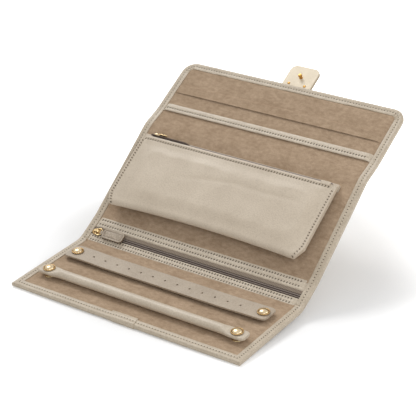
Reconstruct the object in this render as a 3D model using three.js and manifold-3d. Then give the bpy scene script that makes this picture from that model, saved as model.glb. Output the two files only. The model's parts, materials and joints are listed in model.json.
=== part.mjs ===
import * as THREE from 'three';
import { mergeVertices } from 'three/addons/utils/BufferGeometryUtils.js';
import Module from 'manifold-3d';

const wasm = await Module();
wasm.setup();

// A jewelry roll that folds over four creases, lying open with its back half raised.
// Millimetres, +Z up, X across the roll. Each panel is modelled lying flat in a frame of its
// own: X across, Y along the roll from the panel's lower end, Z above the line of the creases.

// Driving dimensions
const rollWidth = 240;
const frontLength = 94;
const zipSpineWidth = 28;
const backLength = 103;
const upperSpineWidth = 20;
const flapLength = 62;

// Bend from one panel to the next as the roll lies open, in degrees. Positive folds it shut.
const restBend = { zipSpine: 29, back: 7.5, upperSpine: -16.5, flap: 8.5 };
// How far the upper crease may bend the other way, past flat.
const backwardBend = 30;

// Layers of a panel
const suede = 0.7;
const boardThickness = 1.6;
const coverLeather = 0.7;
const lipRise = 0.2;
const seat = 0.3;
const creaseGap = 0.4;
const overrun = 5;

// Leather tape that binds the edges
const binding = { width: 8, corner: 13, mitreGap: 0.3, seamBelowCorner: 3 };
const lap = { left: -15, right: 14, reach: 9, leather: 0.5 };

// Zip pocket on the lower spine: leather strips each side of the zip
const zip = { lowerStripWidth: 7.4, upperStripWidth: 10.3, fromCrease: 1, fromLowerStrip: 2.5 };
const tape = { thickness: 0.5, tuck: 5.5, slit: 0.6 };
const teeth = { pitch: 3, width: 1.2, reach: 1.1, root: 0.5, tipGap: 0.5, height: 0.8 };
const pocketBag = { thickness: 0.4, fromCrease: 2 };

// Slider with its ring and leather pull
const slider = { length: 8.5, width: 6.6, plate: 1, nose: 2.2, flange: 0.6, fromEnd: 5 };
const bridge = { length: 5.4, width: 1.6, height: 2.2, bar: 0.6 };
const ring = { radius: 3.4, wire: 0.45 };
const pullTab = { length: 23, width: 10, thickness: 1.9, corner: 2.6, neck: 3.4, eye: 1.15, wall: 0.6 };

// Press studs that hold the strap and the ring bar
const stud = { base: 4.5, baseHeight: 0.6, post: 1.7, postHeight: 1.5, fromSide: 20.7 };
const socket = { radius: 4.3, bore: 2.1, boreDepth: 1.4, height: 1.8, lift: 0.3 };
const cap = { radius: 4.8, rim: 0.7, dome: 1.1, shoulderShare: 0.7, stem: 1.2, stemGap: 0.3 };

// Earring strap and ring bar on the front panel
const strap = { centre: 66.8, beyondStud: 6.7, width: 20, thickness: 1.6, corner: 5 };
const strapHole = { count: 13, radius: 0.8, fromLeftStud: 18.4, fromRightStud: 23 };
const bar = {
  centre: 27.5, beyondStud: 9.2, rollRadius: 4, shoulder: 9,
  tabHalfWidth: 7.7, tabThickness: 3.5, tabLength: 15,
};
// Both bend up beside their left press stud. The leather left of this line stays fastened.
const flexFromStud = 6.5;

// Zipped pouch, sewn to the back panel along its upper edge
const pouch = {
  fromLeft: 10, fromRight: 20, fromCrease: 90.5, length: 80,
  chamferX: 5, chamferY: 11, bottomRise: 3, stand: 4.2,
};
const pouchWall = { back: 1, edge: 1.4, crown: 3.2, mouth: 1.3, mouthInset: 3 };
const hingeStrip = { width: 6, thickness: 0.6 };
const pouchTeeth = { pitch: 3, width: 1.2, reach: 1.1, root: 0.5, tipGap: 0.5, height: 0.8, fromEnds: 9 };
const pouchSlider = { length: 6, plate: 0.7, fromEnd: 4, post: 0.7, head: 1.1, headHeight: 0.4 };
const tag = { length: 9, width: 2.8, thickness: 0.6, eye: 0.95, corner: 1.35 };

// Slip pockets and the stitched band inside the flap
const pocket = { suede: 0.4, mouthFromCrease: 22.8, hemWidth: 11, fromFreeEdge: 8.6 };
const band = { width: 8, leather: 0.5 };

// Clasp: a plate on the flap carries a peg, and the front panel's outside carries its socket
const plate = { width: 31, beyondEdge: 26.5, underFlap: 22, thickness: 3.5, corner: 8 };
const peg = { beyondEdge: 13.2, radius: 2.25, length: 4.2, neck: 1.7, neckHeight: 1.6, stem: 1.2 };
const rivet = {
  beyondEdge: 4.3, spread: 8.5, radius: 1.4, height: 0.6, shoulderShare: 0.7, shoulderHeightShare: 0.8,
};
const lock = { radius: 9, rim: 1.2, bore: 2.7, boreDepth: 3, proud: 3.5 };
const shutGap = 1.7;

// Facets
const fine = 20;
const medium = 14;
const coarse = 8;

// Levels in a panel's own frame, from the top of the binding down
const degree = Math.PI / 180;
const halfWidth = rollWidth / 2;
const lip = suede + lipRise;
const liningTop = -lipRise;
const boardTop = -lip - seat;
const boardBottom = boardTop - boardThickness;
const coverTop = boardBottom - seat;
const coverBottom = coverTop - coverLeather;
const panelThickness = -(coverBottom - lipRise);
const liningInset = binding.width + seat;
const boardInset = lip + seat;

// Shut, the front panel and the flap lie at this angle to the back panel, because the zip
// spine is wider than the upper spine. The socket then lies under the peg.
const spineDifference = zipSpineWidth - upperSpineWidth;
const shutSlope = Math.asin((panelThickness + shutGap) / Math.hypot(backLength, spineDifference))
  + Math.atan2(spineDifference, backLength);
const pegFromCrease = flapLength + peg.beyondEdge;
const lockCentre = frontLength - (backLength * Math.cos(shutSlope)
  + spineDifference * Math.sin(shutSlope) - pegFromCrease);
// The front panel rests on its free edge and on the socket.
const frontTilt = Math.atan2(lock.proud, lockCentre - lock.radius);

const panels = {
  front: { length: frontLength, start: 'edge', end: 0, corner: 0 },
  zipSpine: { length: zipSpineWidth, start: 0, end: 0, corner: 0 },
  back: { length: backLength, start: 0, end: backwardBend, corner: 0 },
  upperSpine: { length: upperSpineWidth, start: backwardBend, end: 0, corner: 0 },
  flap: { length: flapLength, start: 0, end: 'edge', corner: binding.corner },
};

// Finishes
const finishes = {
  leather: { color: 0xc6bba6, roughness: 0.55, metalness: 0 },
  pouchLeather: { color: 0xcdc3ae, roughness: 0.5, metalness: 0 },
  suede: { color: 0xa58d74, roughness: 0.95, metalness: 0 },
  board: { color: 0x8b7f70, roughness: 0.9, metalness: 0 },
  tape: { color: 0x7a6c60, roughness: 0.85, metalness: 0 },
  teeth: { color: 0x5a4c44, roughness: 0.5, metalness: 0 },
  gold: { color: 0xd9b26a, roughness: 0.25, metalness: 1 },
  paleGold: { color: 0xe6d9bc, roughness: 0.35, metalness: 0.8 },
};

// Outlines, extrusions and solids

function rectangle(x0, y0, x1, y1, corner = 0, round = { low: true, high: true }) {
  const low = round.low ? corner : 0;
  const high = round.high ? corner : 0;
  const shape = new THREE.Shape();
  shape.moveTo(x0 + low, y0);
  shape.lineTo(x1 - low, y0);
  if (low > 0) shape.absarc(x1 - low, y0 + low, low, -Math.PI / 2, 0, false);
  shape.lineTo(x1, y1 - high);
  if (high > 0) shape.absarc(x1 - high, y1 - high, high, 0, Math.PI / 2, false);
  shape.lineTo(x0 + high, y1);
  if (high > 0) shape.absarc(x0 + high, y1 - high, high, Math.PI / 2, Math.PI, false);
  shape.lineTo(x0, y0 + low);
  if (low > 0) shape.absarc(x0 + low, y0 + low, low, Math.PI, Math.PI * 1.5, false);
  return shape;
}

function polygon(points) {
  return new THREE.Shape(points.map(([x, y]) => new THREE.Vector2(x, y)));
}

function circleHole(x, y, radius) {
  const hole = new THREE.Path();
  hole.absarc(x, y, radius, 0, Math.PI * 2, true);
  return hole;
}

// Extrudes an outline drawn in X and Y between two levels.
function slab(shape, bottom, top, segments = coarse) {
  const geometry = new THREE.ExtrudeGeometry(shape, {
    depth: top - bottom, bevelEnabled: false, curveSegments: segments,
  });
  return geometry.translate(0, 0, bottom);
}

// Turns a profile of [radius, height] points about an upright axis.
function turned(points, segments, x = 0, y = 0) {
  const profile = points.map(([r, z]) => new THREE.Vector2(r, z));
  const geometry = new THREE.LatheGeometry(profile, segments);
  geometry.rotateX(Math.PI / 2);
  return geometry.translate(x, y, 0);
}

function toSolid(geometry) {
  const bare = geometry.index ? geometry.clone() : geometry;
  bare.deleteAttribute('normal');
  bare.deleteAttribute('uv');
  const merged = mergeVertices(bare);
  return new wasm.Manifold(new wasm.Mesh({
    numProp: 3,
    vertProperties: new Float32Array(merged.attributes.position.array),
    triVerts: new Uint32Array(merged.index.array),
  }));
}

function toGeometry(solid) {
  const mesh = solid.getMesh();
  const geometry = new THREE.BufferGeometry();
  geometry.setAttribute('position', new THREE.BufferAttribute(mesh.vertProperties, mesh.numProp));
  geometry.setIndex(new THREE.BufferAttribute(mesh.triVerts, 1));
  return geometry;
}

function joined(...geometries) {
  return toGeometry(geometries.map(toSolid).reduce((a, b) => a.add(b)));
}

function cutFrom(geometry, ...tools) {
  return toGeometry(tools.map(toSolid).reduce((a, b) => a.subtract(b), toSolid(geometry)));
}

// One closed solid from a grid of upper points and a grid of lower points.
function gridSolid(columns, rows, upper, lower) {
  const positions = [];
  for (const point of [upper, lower]) {
    for (let j = 0; j <= rows; j += 1) {
      for (let i = 0; i <= columns; i += 1) positions.push(...point(i / columns, j / rows));
    }
  }
  const layerSize = (columns + 1) * (rows + 1);
  const at = (i, j, side) => side * layerSize + j * (columns + 1) + i;
  const index = [];
  const quad = (a, b, c, d) => index.push(a, b, c, a, c, d);
  for (let j = 0; j < rows; j += 1) {
    for (let i = 0; i < columns; i += 1) {
      quad(at(i, j, 0), at(i + 1, j, 0), at(i + 1, j + 1, 0), at(i, j + 1, 0));
      quad(at(i, j, 1), at(i, j + 1, 1), at(i + 1, j + 1, 1), at(i + 1, j, 1));
    }
  }
  for (let i = 0; i < columns; i += 1) {
    quad(at(i, 0, 1), at(i + 1, 0, 1), at(i + 1, 0, 0), at(i, 0, 0));
    quad(at(i, rows, 0), at(i + 1, rows, 0), at(i + 1, rows, 1), at(i, rows, 1));
  }
  for (let j = 0; j < rows; j += 1) {
    quad(at(0, j, 0), at(0, j + 1, 0), at(0, j + 1, 1), at(0, j, 1));
    quad(at(columns, j, 1), at(columns, j + 1, 1), at(columns, j + 1, 0), at(columns, j, 0));
  }
  const geometry = new THREE.BufferGeometry();
  geometry.setAttribute('position', new THREE.Float32BufferAttribute(positions, 3));
  geometry.setIndex(index);
  return geometry;
}

// One closed solid through closed sections of equal point counts.
function loft(sections) {
  const count = sections[0].length;
  const positions = sections.flat(2);
  const index = [];
  for (let s = 0; s < sections.length - 1; s += 1) {
    for (let k = 0; k < count; k += 1) {
      const a = s * count + k;
      const b = s * count + ((k + 1) % count);
      index.push(a, b, b + count, a, b + count, a + count);
    }
  }
  const last = (sections.length - 1) * count;
  for (let k = 1; k < count - 1; k += 1) {
    index.push(0, k + 1, k);
    index.push(last, last + k, last + k + 1);
  }
  const geometry = new THREE.BufferGeometry();
  geometry.setAttribute('position', new THREE.Float32BufferAttribute(positions, 3));
  geometry.setIndex(index);
  return geometry;
}

// Nested frames: each panel hangs on the one before it, at its crease

const root = new THREE.Group();
const frames = {};
let carrier = root;
let creaseAt = 0;
for (const [name, bend] of [['front', frontTilt / degree], ...Object.entries(restBend)]) {
  const group = new THREE.Group();
  group.position.y = creaseAt;
  group.rotation.x = bend * degree;
  carrier.add(group);
  frames[name] = group;
  carrier = group;
  creaseAt = panels[name].length;
}

// The two mirror halves of a name, with the sign of X on each side
const sides = { left: -1, right: 1 };

function place(frame, name, geometry, finish) {
  const mesh = new THREE.Mesh(geometry, new THREE.MeshStandardMaterial(finishes[finish]));
  mesh.name = name;
  frame.add(mesh);
  return mesh;
}

// Layers of the panels

// A layer stops short of a crease, more so the deeper it lies, so that the crease can bend back.
function creaseSetBack(outwardBend, bottom) {
  return creaseGap / 2 - bottom * Math.tan(outwardBend * degree / 2);
}

function panelOutline(panel, inset, bottom, creaseOverrun = null) {
  const ends = [panel.start, panel.end].map((end) => {
    if (end === 'edge') return inset;
    return creaseOverrun === null ? creaseSetBack(end, bottom) : -creaseOverrun;
  });
  const corner = Math.max(panel.corner - inset, 0);
  const round = { low: panel.start === 'edge', high: panel.end === 'edge' };
  return rectangle(-halfWidth + inset, ends[0], halfWidth - inset, panel.length - ends[1], corner, round);
}

function panelLayer(panel, inset, bottom, top) {
  return slab(panelOutline(panel, inset, bottom), bottom, top);
}

// Folded tape round a panel's open edges: a channel that grips the board.
function panelBinding(panel) {
  const outer = slab(panelOutline(panel, 0, -panelThickness), -panelThickness, 0);
  const slot = slab(panelOutline(panel, lip, 0, overrun), coverTop, -lip);
  const opening = slab(panelOutline(panel, binding.width, 0, overrun), -panelThickness - overrun, overrun);
  return cutFrom(outer, slot, opening);
}

// The stretch of a binding that lies inside an outline.
function bindingPart(whole, outline) {
  const prism = slab(polygon(outline), -panelThickness - overrun, overrun);
  return toGeometry(toSolid(whole).intersect(toSolid(prism)));
}

// Places the tapes along a panel's two sides, each inside an outline drawn for the right one.
function placeSideBindings(name, node, outline) {
  const whole = panelBinding(panels[name]);
  place(frames[name], `${node}_right_binding`, bindingPart(whole, outline), 'leather');
  place(frames[name], `${node}_left_binding`, bindingPart(whole, mirroredX(outline)), 'leather');
}

function mirroredX(points) {
  return points.map(([x, y]) => [-x, y]).reverse();
}

const covers = {
  front: 'front_cover', zipSpine: 'zip_spine_cover', back: 'back_cover',
  upperSpine: 'upper_spine_cover', flap: 'flap_cover',
};
for (const [name, node] of Object.entries(covers)) {
  place(frames[name], node, panelLayer(panels[name], liningInset, coverBottom, coverTop), 'leather');
}
for (const name of ['front', 'back', 'flap']) {
  const layer = panelLayer(panels[name], boardInset, boardBottom, boardTop);
  place(frames[name], `${name}_board`, layer, 'board');
}
const linings = {
  front: 'front_suede', back: 'back_suede', upperSpine: 'upper_spine_suede', flap: 'flap_suede',
};
for (const [name, node] of Object.entries(linings)) {
  place(frames[name], node, panelLayer(panels[name], liningInset, -lip, liningTop), 'suede');
}
const sideEdge = halfWidth + overrun;
for (const [name, node] of [['zipSpine', 'zip_spine'], ['back', 'back'], ['upperSpine', 'upper_spine']]) {
  const beyond = panels[name].length + overrun;
  placeSideBindings(name, node, [
    [0, -overrun], [sideEdge, -overrun], [sideEdge, beyond], [0, beyond],
  ]);
}

// Front binding, mitred at the two square corners
const reach = binding.width + overrun;
const gap = binding.mitreGap;
const frontEdgeRegion = [
  [-halfWidth + gap, 0], [halfWidth - gap, 0],
  [halfWidth - reach - gap, reach], [-halfWidth + reach + gap, reach],
];
const frontSideRegion = [
  [halfWidth, 0], [halfWidth, frontLength], [halfWidth - reach, frontLength], [halfWidth - reach, reach],
];
placeSideBindings('front', 'front', frontSideRegion);

// The two ends of the tape overlap in the middle of the front edge.
const lapped = slab(rectangle(lap.left, -lap.leather, lap.right, lap.reach), -panelThickness, lap.leather);
const lapRoomShape = rectangle(lap.left - overrun, lip, lap.right + overrun, reach);
const lapRoom = slab(lapRoomShape, -panelThickness - overrun, 0);
place(frames.front, 'front_edge_binding', joined(
  bindingPart(panelBinding(panels.front), frontEdgeRegion), cutFrom(lapped, lapRoom),
), 'leather');

// Flap binding, seamed just below its two round corners
const flapSeam = flapLength - binding.corner - binding.seamBelowCorner;
const flapEndRegion = [
  [-halfWidth, flapSeam + gap], [halfWidth, flapSeam + gap],
  [halfWidth, flapLength], [-halfWidth, flapLength],
];
place(frames.flap, 'flap_end_binding', bindingPart(panelBinding(panels.flap), flapEndRegion), 'leather');
placeSideBindings('flap', 'flap', [
  [0, -overrun], [sideEdge, -overrun], [sideEdge, flapSeam], [0, flapSeam],
]);

// Zip pocket

const zipStart = zip.fromCrease;
const zipEnd = zipSpineWidth - zip.fromCrease;
const lowerStripEnd = zipStart + zip.lowerStripWidth;
const upperStripStart = zipEnd - zip.upperStripWidth;
const stripHalf = halfWidth - liningInset;
const zipCentre = lowerStripEnd + zip.fromLowerStrip;
const tapeTop = -lip - seat;
place(frames.zipSpine, 'zip_lower_strip',
  slab(rectangle(-stripHalf, zipStart, stripHalf, lowerStripEnd), -lip, liningTop), 'leather');
place(frames.zipSpine, 'zip_upper_strip',
  slab(rectangle(-stripHalf, upperStripStart, stripHalf, zipEnd), -lip, liningTop), 'leather');
place(frames.zipSpine, 'zip_lower_tape',
  slab(rectangle(-stripHalf, lowerStripEnd - tape.tuck, stripHalf, zipCentre - tape.slit / 2),
    tapeTop - tape.thickness, tapeTop), 'tape');
place(frames.zipSpine, 'zip_upper_tape',
  slab(rectangle(-stripHalf, zipCentre + tape.slit / 2, stripHalf, upperStripStart + tape.tuck),
    tapeTop - tape.thickness, tapeTop), 'tape');
place(frames.zipSpine, 'zip_pocket_bag',
  slab(rectangle(-stripHalf, pocketBag.fromCrease, stripHalf, zipSpineWidth - pocketBag.fromCrease),
    coverTop + seat, coverTop + seat + pocketBag.thickness), 'suede');

// A row of teeth on a root strip, drawn along X with its teeth towards +Y from the zip's middle.
function toothRow(kind, from, to, offset) {
  const rootEnd = -kind.reach / 2 - (kind.tipGap - seat);
  const tips = rootEnd + kind.reach;
  const points = [[from, rootEnd - kind.root], [to, rootEnd - kind.root], [to, rootEnd]];
  const count = Math.floor((to - from - offset) / kind.pitch);
  for (let n = count - 1; n >= 0; n -= 1) {
    const left = from + offset + n * kind.pitch;
    points.push([left + kind.width, rootEnd], [left + kind.width, tips], [left, tips], [left, rootEnd]);
  }
  points.push([from, rootEnd]);
  return points;
}

const mirroredY = (points) => points.map(([x, y]) => [x, -y]).reverse();
const shifted = (points, dy) => points.map(([x, y]) => [x, y + dy]);

const teethFrom = -stripHalf;
const teethTo = stripHalf;
const teethBottom = tapeTop + seat;
const lowerTeeth = toothRow(teeth, teethFrom, teethTo, teeth.width / 2);
const upperTeeth = mirroredY(toothRow(teeth, teethFrom, teethTo, (teeth.width + teeth.pitch) / 2));
place(frames.zipSpine, 'zip_lower_teeth',
  slab(polygon(shifted(lowerTeeth, zipCentre)), teethBottom, teethBottom + teeth.height), 'teeth');
place(frames.zipSpine, 'zip_upper_teeth',
  slab(polygon(shifted(upperTeeth, zipCentre)), teethBottom, teethBottom + teeth.height), 'teeth');
const chainHalf = teeth.reach / 2 + teeth.tipGap - seat + teeth.root;

// Slider, with a bridge that holds the ring

const sliderX = -stripHalf + slider.fromEnd;
const sliderBottom = teethBottom + teeth.height + seat;
const sliderTop = sliderBottom + slider.plate;
const sliderShape = polygon([
  [-slider.length / 2, -slider.width / 2 + slider.nose],
  [-slider.length / 2 + slider.nose, -slider.width / 2],
  [slider.length / 2 - slider.nose / 2, -slider.width / 2],
  [slider.length / 2, -slider.width / 2 + slider.nose / 2],
  [slider.length / 2, slider.width / 2 - slider.nose / 2],
  [slider.length / 2 - slider.nose / 2, slider.width / 2],
  [-slider.length / 2 + slider.nose, slider.width / 2],
  [-slider.length / 2, slider.width / 2 - slider.nose],
]);
const flangeHalf = slider.length / 2 - slider.nose;
const sliderFlanges = [-1, 1].map((side) => {
  const inner = side * (chainHalf + seat);
  const outer = side * (chainHalf + seat + slider.flange);
  return slab(rectangle(-flangeHalf, Math.min(inner, outer), flangeHalf, Math.max(inner, outer)),
    teethBottom, sliderBottom + slider.plate / 2);
});

// An arch of a bar's width, drawn along X and Z and standing on the slider's plate.
function archGeometry(size, foot) {
  const shape = rectangle(-size.length / 2, 0, size.length / 2, size.height + foot, size.height / 2,
    { low: false, high: true });
  const clear = rectangle(-size.length / 2 + size.bar, foot, size.length / 2 - size.bar,
    foot + size.height - size.bar, (size.height - size.bar) / 2, { low: false, high: true });
  shape.holes.push(clear);
  const geometry = slab(shape, -size.width / 2, size.width / 2, coarse);
  return geometry.rotateX(Math.PI / 2);
}

const bridgeFoot = slider.plate / 2;
const sliderBody = joined(
  slab(sliderShape, sliderBottom, sliderTop), ...sliderFlanges,
  archGeometry(bridge, bridgeFoot).translate(0, 0, sliderTop - bridgeFoot),
);
place(frames.zipSpine, 'zip_slider', sliderBody.translate(sliderX, zipCentre, 0), 'gold');

// The ring passes under the bridge and through the folded neck of the leather pull.
const ringLevel = sliderTop + (bridge.height - bridge.bar) / 2;
const ringX = sliderX + ring.radius;
const ringGeometry = new THREE.TorusGeometry(ring.radius, ring.wire, coarse, fine);
place(frames.zipSpine, 'zip_pull_ring', ringGeometry.translate(ringX, zipCentre, ringLevel), 'gold');
const neckX = ringX + ring.radius;
const neckRing = rectangle(-pullTab.eye - pullTab.wall, -pullTab.eye - pullTab.wall,
  pullTab.eye + pullTab.wall, pullTab.eye + pullTab.wall, pullTab.eye + pullTab.wall);
neckRing.holes.push(circleHole(0, 0, pullTab.eye));
const neck = slab(neckRing, -pullTab.neck / 2, pullTab.neck / 2, medium / 2).rotateX(Math.PI / 2)
  .translate(neckX, zipCentre, ringLevel);
const tabStart = neckX + pullTab.eye + pullTab.wall / 2;
const tabShape = rectangle(tabStart, zipCentre - pullTab.width / 2, tabStart + pullTab.length,
  zipCentre + pullTab.width / 2, pullTab.corner);
const tabPlate = slab(tabShape, ringLevel - pullTab.thickness / 2, ringLevel + pullTab.thickness / 2);
place(frames.zipSpine, 'zip_pull_tab', joined(neck, tabPlate), 'leather');

// Press studs

const studBottom = liningTop + seat;
const studTop = studBottom + stud.baseHeight;
const studProfile = [
  [0, studBottom], [stud.base, studBottom], [stud.base, studTop], [stud.post, studTop],
  [stud.post, studTop + stud.postHeight], [0, studTop + stud.postHeight],
];
const socketBottom = studTop + socket.lift;
const socketTop = socketBottom + socket.height;
const strapBottom = socketTop + seat;
const strapTop = strapBottom + strap.thickness;
const tabTop = strapBottom + bar.tabThickness;

// The domed cap is riveted to the socket through the leather.
function snapProfile(underside) {
  return [
    [0, socketBottom + socket.boreDepth], [socket.bore, socketBottom + socket.boreDepth],
    [socket.bore, socketBottom], [socket.radius, socketBottom], [socket.radius, socketTop],
    [cap.stem, socketTop], [cap.stem, underside], [cap.radius, underside],
    [cap.radius, underside + cap.rim],
    [cap.radius * cap.shoulderShare, underside + cap.rim + cap.dome * cap.shoulderShare],
    [0, underside + cap.rim + cap.dome],
  ];
}

const studSpread = halfWidth - stud.fromSide;
const flexLine = -studSpread + flexFromStud;
for (const [side, sign] of Object.entries(sides)) {
  const x = sign * studSpread;
  for (const [piece, y, top] of [['strap', strap.centre, strapTop], ['bar', bar.centre, tabTop]]) {
    place(frames.front, `${piece}_stud_${side}`, turned(studProfile, medium, x, y), 'gold');
    place(frames.front, `${piece}_snap_${side}`, turned(snapProfile(top + seat), fine, x, y), 'gold');
  }
}

// Earring strap

const strapEnd = studSpread + strap.beyondStud;
const strapShape = rectangle(-strapEnd, strap.centre - strap.width / 2, strapEnd,
  strap.centre + strap.width / 2, strap.corner);
const firstHole = -studSpread + strapHole.fromLeftStud;
const lastHole = studSpread - strapHole.fromRightStud;
for (let n = 0; n < strapHole.count; n += 1) {
  const x = THREE.MathUtils.lerp(firstHole, lastHole, n / (strapHole.count - 1));
  strapShape.holes.push(circleHole(x, strap.centre, strapHole.radius));
}
for (const x of [-studSpread, studSpread]) {
  strapShape.holes.push(circleHole(x, strap.centre, cap.stem + cap.stemGap));
}
const strapLeather = slab(strapShape, strapBottom, strapTop, coarse / 2);

// Splits a piece at the flex line into its lifting part and its fastened end.
function placeLifting(node, geometry) {
  const room = slab(rectangle(flexLine - seat / 2, 0, halfWidth, frontLength), 0, halfWidth);
  const fastened = cutFrom(geometry, room);
  const keep = slab(rectangle(flexLine + seat / 2, 0, halfWidth, frontLength), 0, halfWidth);
  const lifting = toGeometry(toSolid(geometry).intersect(toSolid(keep)));
  place(frames.front, node, lifting, 'leather');
  place(frames.front, `${node}_fastened_end`, fastened, 'leather');
}

placeLifting('earring_strap', strapLeather);

// Ring bar: a padded roll that flattens into a tab at each end

const barLevel = (strapBottom + tabTop) / 2;
const barEnd = studSpread + bar.beyondStud;
const rollEnd = barEnd - bar.tabLength - bar.shoulder;
const tabShare = (x) => THREE.MathUtils.smoothstep(Math.abs(x), rollEnd, rollEnd + bar.shoulder);

// A section that turns from a circle into a flat rounded bar.
function barSection(x) {
  const share = tabShare(x);
  const squareness = 1 - share / 2;
  const across = THREE.MathUtils.lerp(bar.rollRadius, bar.tabHalfWidth, share);
  const up = THREE.MathUtils.lerp(bar.rollRadius, bar.tabThickness / 2, share);
  return Array.from({ length: fine }, (_, k) => {
    const angle = (k / fine) * Math.PI * 2;
    const y = Math.sign(Math.cos(angle)) * Math.abs(Math.cos(angle)) ** squareness * across;
    const z = Math.sign(Math.sin(angle)) * Math.abs(Math.sin(angle)) ** squareness * up;
    return [x, bar.centre + y, barLevel + z];
  });
}

const shoulderShares = [0, 0.25, 0.5, 0.75, 1];
const rightStations = shoulderShares.map((share) => rollEnd + share * bar.shoulder).concat(barEnd);
const barStations = [...rightStations.map((x) => -x).reverse(), 0, ...rightStations];
const stemHole = (x, y) => slab(rectangle(x - cap.stem - cap.stemGap, y - cap.stem - cap.stemGap,
  x + cap.stem + cap.stemGap, y + cap.stem + cap.stemGap, cap.stem + cap.stemGap),
strapBottom - overrun, tabTop + overrun, coarse / 2);
placeLifting('ring_bar', cutFrom(loft(barStations.map(barSection)),
  stemHole(-studSpread, bar.centre), stemHole(studSpread, bar.centre)));

// Pouch, in a frame of its own that stands off the panel, with Y up to its sewn edge

const pouchHalf = halfWidth - (pouch.fromLeft + pouch.fromRight) / 2;
const pouchMiddle = (pouch.fromLeft - pouch.fromRight) / 2;
const pouchFrame = new THREE.Group();
pouchFrame.position.set(pouchMiddle, pouch.fromCrease, liningTop + seat + hingeStrip.thickness);
pouchFrame.rotation.x = -pouch.stand * degree;
frames.back.add(pouchFrame);
const hingeShape = rectangle(pouchMiddle - pouchHalf, pouch.fromCrease - hingeStrip.width,
  pouchMiddle + pouchHalf, pouch.fromCrease);
place(frames.back, 'pouch_hinge_strip',
  slab(hingeShape, liningTop + seat, liningTop + seat + hingeStrip.thickness), 'pouchLeather');

// The lower edge rises a little towards its middle. Across runs from -1 to 1.
const pouchBottom = (across) => -pouch.length + pouch.bottomRise * (1 - across * across);
const pouchColumns = 22;
const bottomEdge = Array.from({ length: pouchColumns + 1 }, (_, k) => {
  const across = (2 * k) / pouchColumns - 1;
  return [across * (pouchHalf - pouch.chamferX), pouchBottom(across)];
});
const pouchBackTop = seat + pouchWall.back;
place(pouchFrame, 'pouch_back', slab(polygon([
  ...bottomEdge, [pouchHalf, -pouch.length + pouch.chamferY], [pouchHalf, 0], [-pouchHalf, 0],
  [-pouchHalf, -pouch.length + pouch.chamferY],
]), seat, pouchBackTop), 'pouchLeather');

// The front leather swells from its stitched edges, more so along the zipped mouth.
const pouchRowShares = [0, 0.06, 0.14, 0.3, 0.5, 0.7, 0.85, 0.94, 1];
function pouchPoint(u, v, z) {
  const rowShare = pouchRowShares[Math.round(v * (pouchRowShares.length - 1))];
  const across = 2 * u - 1;
  const y = THREE.MathUtils.lerp(pouchBottom(across), -pouchWall.mouthInset, rowShare);
  const aboveChamfer = Math.min((y - pouchBottom(across)) / pouch.chamferY, 1);
  const half = pouchHalf - pouch.chamferX * (1 - aboveChamfer);
  return [across * half, y, z(u, rowShare)];
}
const swell = (share, power) => 1 - Math.abs(2 * share - 1) ** power;
const pouchEdgeTop = pouchBackTop + seat + pouchWall.edge;
const pouchUpper = (u, v) => pouchPoint(u, v, (across, along) => pouchEdgeTop
  + swell(across, 6) * (swell(along, 3) * pouchWall.crown + along * pouchWall.mouth));
const pouchLower = (u, v) => pouchPoint(u, v, () => pouchBackTop + seat);
place(pouchFrame, 'pouch_front', gridSolid(pouchColumns, pouchRowShares.length - 1, pouchUpper, pouchLower),
  'pouchLeather');

// The pouch's zip runs in its narrow upper face, so its rows are drawn along X and Z.
const pouchTeethHalf = pouchTeeth.reach / 2 + pouchTeeth.tipGap - seat + pouchTeeth.root;
const mouthMiddle = pouchBackTop + seat + pouchTeethHalf;
const mouthTop = -pouchWall.mouthInset + seat + pouchTeeth.height;
const mouthEnds = pouchHalf - pouchTeeth.fromEnds;
function mouthSlab(points, from, to) {
  return slab(polygon(points), from, to).rotateX(Math.PI / 2).rotateZ(Math.PI)
    .translate(0, 0, mouthMiddle);
}
const innerRow = toothRow(pouchTeeth, -mouthEnds, mouthEnds, pouchTeeth.width / 2);
const outerOffset = (pouchTeeth.width + pouchTeeth.pitch) / 2;
const outerRow = mirroredY(toothRow(pouchTeeth, -mouthEnds, mouthEnds, outerOffset));
for (const [node, row] of [['pouch_inner_teeth', innerRow], ['pouch_outer_teeth', outerRow]]) {
  place(pouchFrame, node, mouthSlab(row, mouthTop - pouchTeeth.height, mouthTop), 'teeth');
}

// Slider of the pouch: a plate over the teeth, with a headed post on which the tag swings
const pouchSliderX = -mouthEnds + pouchSlider.fromEnd;
const platform = mouthTop + seat;
const upright = (geometry) => geometry.rotateX(-Math.PI / 2).translate(pouchSliderX, 0, mouthMiddle);
const postTop = platform + pouchSlider.plate + seat + tag.thickness + seat;
const pouchSliderBody = joined(
  slab(rectangle(-pouchSlider.length / 2, -pouchTeethHalf + seat, pouchSlider.length / 2,
    pouchTeethHalf - seat, pouchTeethHalf / 2), platform, platform + pouchSlider.plate),
  turned([[0, platform + pouchSlider.plate / 2], [pouchSlider.post, platform + pouchSlider.plate / 2],
    [pouchSlider.post, postTop], [pouchSlider.head, postTop],
    [pouchSlider.head, postTop + pouchSlider.headHeight],
    [0, postTop + pouchSlider.headHeight]], medium),
);
place(pouchFrame, 'pouch_slider', upright(pouchSliderBody), 'gold');
const tagShape = rectangle(-tag.width / 2, -tag.width / 2, tag.length, tag.width / 2, tag.corner);
tagShape.holes.push(circleHole(0, 0, tag.eye));
const tagBottom = platform + pouchSlider.plate + seat;
place(pouchFrame, 'pouch_zip_tag', upright(slab(tagShape, tagBottom, tagBottom + tag.thickness)), 'gold');

// Slip pockets and band of the flap

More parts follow.
